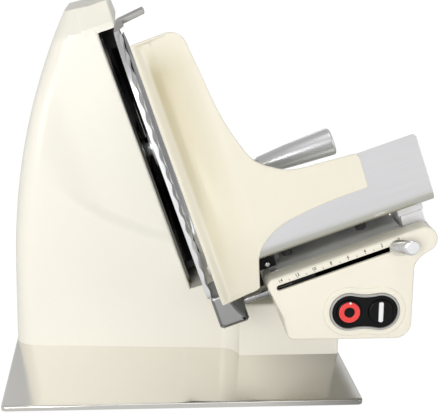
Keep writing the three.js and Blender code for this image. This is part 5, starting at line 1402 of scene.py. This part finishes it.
class MakePusher(bpy.types.Operator):
    """Builds the pusher with its rod, brackets, arm, toothed plate and handle"""
    bl_idname = "slicer.make_pusher"
    bl_label = "Food pusher"

    def execute(self, context):
        refined("pusher_rod", turned_steel(), 0.0006)
        for node, material, slot, width in (
                ("pusher_bracket_left", cast_aluminium(), "satin_aluminium", 0.0008),
                ("pusher_bracket_right", cast_aluminium(), "satin_aluminium", 0.0008),
                ("pusher_sleeve", black_moulding(), "satin_aluminium", 0.0008),
                ("pusher_arm", cast_aluminium(), "satin_aluminium", 0.0008),
                ("pusher_plate", cast_aluminium(), "satin_aluminium", 0.0006)):
            refined(node, material, width)
        profile = [(0, 208.6), (7.6, 208.6), (8.8, 210.0), (11.6, 240.8), (14, 283.6), (12.7, 285.3),
                   (4.4, 285.3), (4, 284.9), (4, 282.8), (0, 282.8)]
        handle = turned(profile, HANDLE_AXIS, ALONG_OUT, 1.0, 96)
        made = piece("pusher_handle_skin", *handle, handle_aluminium(), "push_swing", "satin_aluminium",
                     ["pusher_handle"])
        repaint(made, bar_aluminium(), lambda middle, normal: (middle @ SLOPE.T)[:, 0] > 284.6)
        profile = [(0, 282.9), (3.3, 282.9), (3.3, 283.5), (1.9, 284.4), (0, 284.7)]
        button = turned(profile, HANDLE_AXIS, ALONG_OUT, 0.5, 40)
        piece("pusher_handle_screw", *button, knob_chrome(), "push_swing", "satin_aluminium")
        return {"FINISHED"}


# The studio
class MakeStage(bpy.types.Operator):
    """Adds the floor, the backdrop, the lamps and the camera"""
    bl_idname = "slicer.make_stage"
    bl_label = "Studio"

    def execute(self, context):
        scene = context.scene
        scene.view_settings.view_transform = "Standard"
        paper = Shade("studio_paper", roughness=0.9, specular_ior_level=0.2)
        paper.set("Base Color", (0.88, 0.88, 0.88))
        out = paper.tree.nodes["Material Output"]
        seen = paper.add("ShaderNodeLightPath", output="Is Camera Ray")
        glossy = paper.add("ShaderNodeLightPath", output="Is Glossy Ray")
        along = paper.add("ShaderNodeSeparateXYZ", None, {0: paper.where()}, output=1)
        across = paper.add("ShaderNodeSeparateXYZ", None, {0: paper.where()}, output=0)
        # For camera rays the paper glows evenly white. For glossy rays it glows with painted light: bright in
        # front, dimmer nearer the slicer as its shadow, and on the far backdrop brighter to the left than to
        # the right.
        place = (along + 1.2) / 3.8
        near = paper.ramp(place, (0.1, 0.92), (0.22, 0.70), (0.35, 0.55), (0.6, 0))
        far = paper.ramp(place, (0.35, 0), (0.6, 1))
        painted_reflection_glow = near + far * paper.ramp((across + 4) / 8, (0.38, 0.68), (0.52, 0.25), (0.58, 0.15))
        seen_glow, seen_share, glossy_share = 1.06, 0.93, 0.96
        glow = paper.add("ShaderNodeEmission", None, {
            "Color": seen * seen_glow + glossy * painted_reflection_glow, "Strength": 1})
        share = (seen * seen_share + glossy * glossy_share).clamped()
        mixed = paper.add("ShaderNodeMixShader", None, {
            0: share, 1: Value(paper, paper.surface.outputs[0]), 2: glow})
        paper.tree.links.new(mixed.socket, out.inputs["Surface"])
        mesh = bpy.data.meshes.new("studio_floor")
        reach, depth, height, bend = 4.0, 2.6, 3.2, 0.9
        line = [(-3.0, 0.0), (depth - bend, 0.0)]
        line += [(depth - bend + bend * math.sin(a), bend - bend * math.cos(a))
                 for a in np.linspace(0, math.pi / 2, 16)]
        line += [(depth, height)]
        verts = [(side * reach, y, z) for y, z in line for side in (-1, 1)]
        faces = [(2 * i, 2 * i + 1, 2 * i + 3, 2 * i + 2) for i in range(len(line) - 1)]
        mesh.from_pydata(verts, [], faces)
        mesh.shade_smooth()
        mesh.materials.append(paper.material)
        floor = placed("studio_floor", mesh)
        world = bpy.data.worlds.new("studio_world")
        scene.world = world
        world.use_nodes = True
        sky = Shade.over(world.node_tree)
        spot = sky.add("ShaderNodeTexCoord", output="Generated")
        height = sky.add("ShaderNodeSeparateXYZ", None, {0: spot}, output=2)
        dim = sky.add("ShaderNodeMapRange", None, {0: height, 1: 0.15, 2: 0.9, 3: 0.58, 4: 0.46})
        seen = sky.add("ShaderNodeLightPath", output="Is Camera Ray")
        background = sky.tree.nodes["Background"]
        sky.feed(background.inputs["Color"], dim + seen * (1.0 - dim))
        sky.feed(background.inputs["Strength"], 1)
        lamps = [
            ("key", (-0.95, -2.2, 0.5), 1.1, 26.5, (0.0, 0.0, 0.12)),
            ("fill", (1.9, -1.6, 0.6), 1.4, 8, (0.0, 0.0, 0.15)),
            ("top", (0.2, -0.9, 2.1), 1.0, 5, (0.0, 0.0, 0.15)),
            ("rear", (0.6, 2.0, 1.2), 1.4, 8, (0.0, 0.0, 0.15)),
        ]
        for name, place, size, power, aim in lamps:
            lamp = bpy.data.lights.new(name, "AREA")
            lamp.size = size
            lamp.energy = power
            made = placed(name, lamp)
            made.location = place
            made.rotation_euler = (Vector(aim) - Vector(place)).to_track_quat("-Z", "Y").to_euler()
        lens = bpy.data.cameras.new("camera")
        lens.sensor_width = 36
        lens.lens = CAMERA["focal"] * lens.sensor_width / PHOTO_WIDTH
        lens.shift_x = CAMERA["shift_x"] / PHOTO_WIDTH
        lens.shift_y = CAMERA["shift_y"] / PHOTO_WIDTH
        lens.clip_start = 0.01
        made = placed("camera", lens)
        yaw, pitch, roll = CAMERA["yaw"], CAMERA["pitch"], CAMERA["roll"]
        made.location = upright([CAMERA["place"]])[0]
        made.rotation_euler = (
            Matrix.Rotation(-yaw, 4, "Z") @ Matrix.Rotation(math.pi / 2 - pitch, 4, "X")
            @ Matrix.Rotation(-roll, 4, "Z")).to_euler()
        scene.camera = made
        return {"FINISHED"}


PHOTO_WIDTH = 440
CAMERA = {
    "place": (17.12, -923.2, 419.3), "yaw": 0.06211, "pitch": 0.21882, "roll": -0.00728, "focal": 1078.6,
    "shift_x": 35, "shift_y": -35}


STAGE = [MakeStage]
PIECES = [MakeBase, MakeHousing, MakeBladeGroup, MakeThicknessPlate, MakeControlHousing, MakeSlider,
          MakeSwitch, MakeTray, MakeGuard, MakeCarriage, MakePusher]


class SlicerPanel(bpy.types.Panel):
    bl_idname = "VIEW3D_PT_slicer"
    bl_label = "Food slicer"
    bl_space_type = "VIEW_3D"
    bl_region_type = "UI"
    bl_category = "Slicer"

    def draw(self, context):
        for maker in PIECES + STAGE:
            self.layout.operator(maker.bl_idname)


CLASSES = [SlicerSizes, SlicerColours, *PIECES, *STAGE, SlicerPanel]


def register():
    for kind in CLASSES:
        bpy.utils.register_class(kind)
    bpy.types.Scene.slicer_sizes = bpy.props.PointerProperty(type=SlicerSizes)
    bpy.types.Scene.slicer_colours = bpy.props.PointerProperty(type=SlicerColours)


def unregister():
    del bpy.types.Scene.slicer_sizes, bpy.types.Scene.slicer_colours
    for kind in reversed(CLASSES):
        bpy.utils.unregister_class(kind)


def main():
    global SIZES, COLOURS
    register()
    SIZES = bpy.context.scene.slicer_sizes
    COLOURS = bpy.context.scene.slicer_colours
    for maker in PIECES + STAGE:
        group, action = maker.bl_idname.split(".")
        getattr(getattr(bpy.ops, group), action)()


if __name__ == "__main__":
    main()
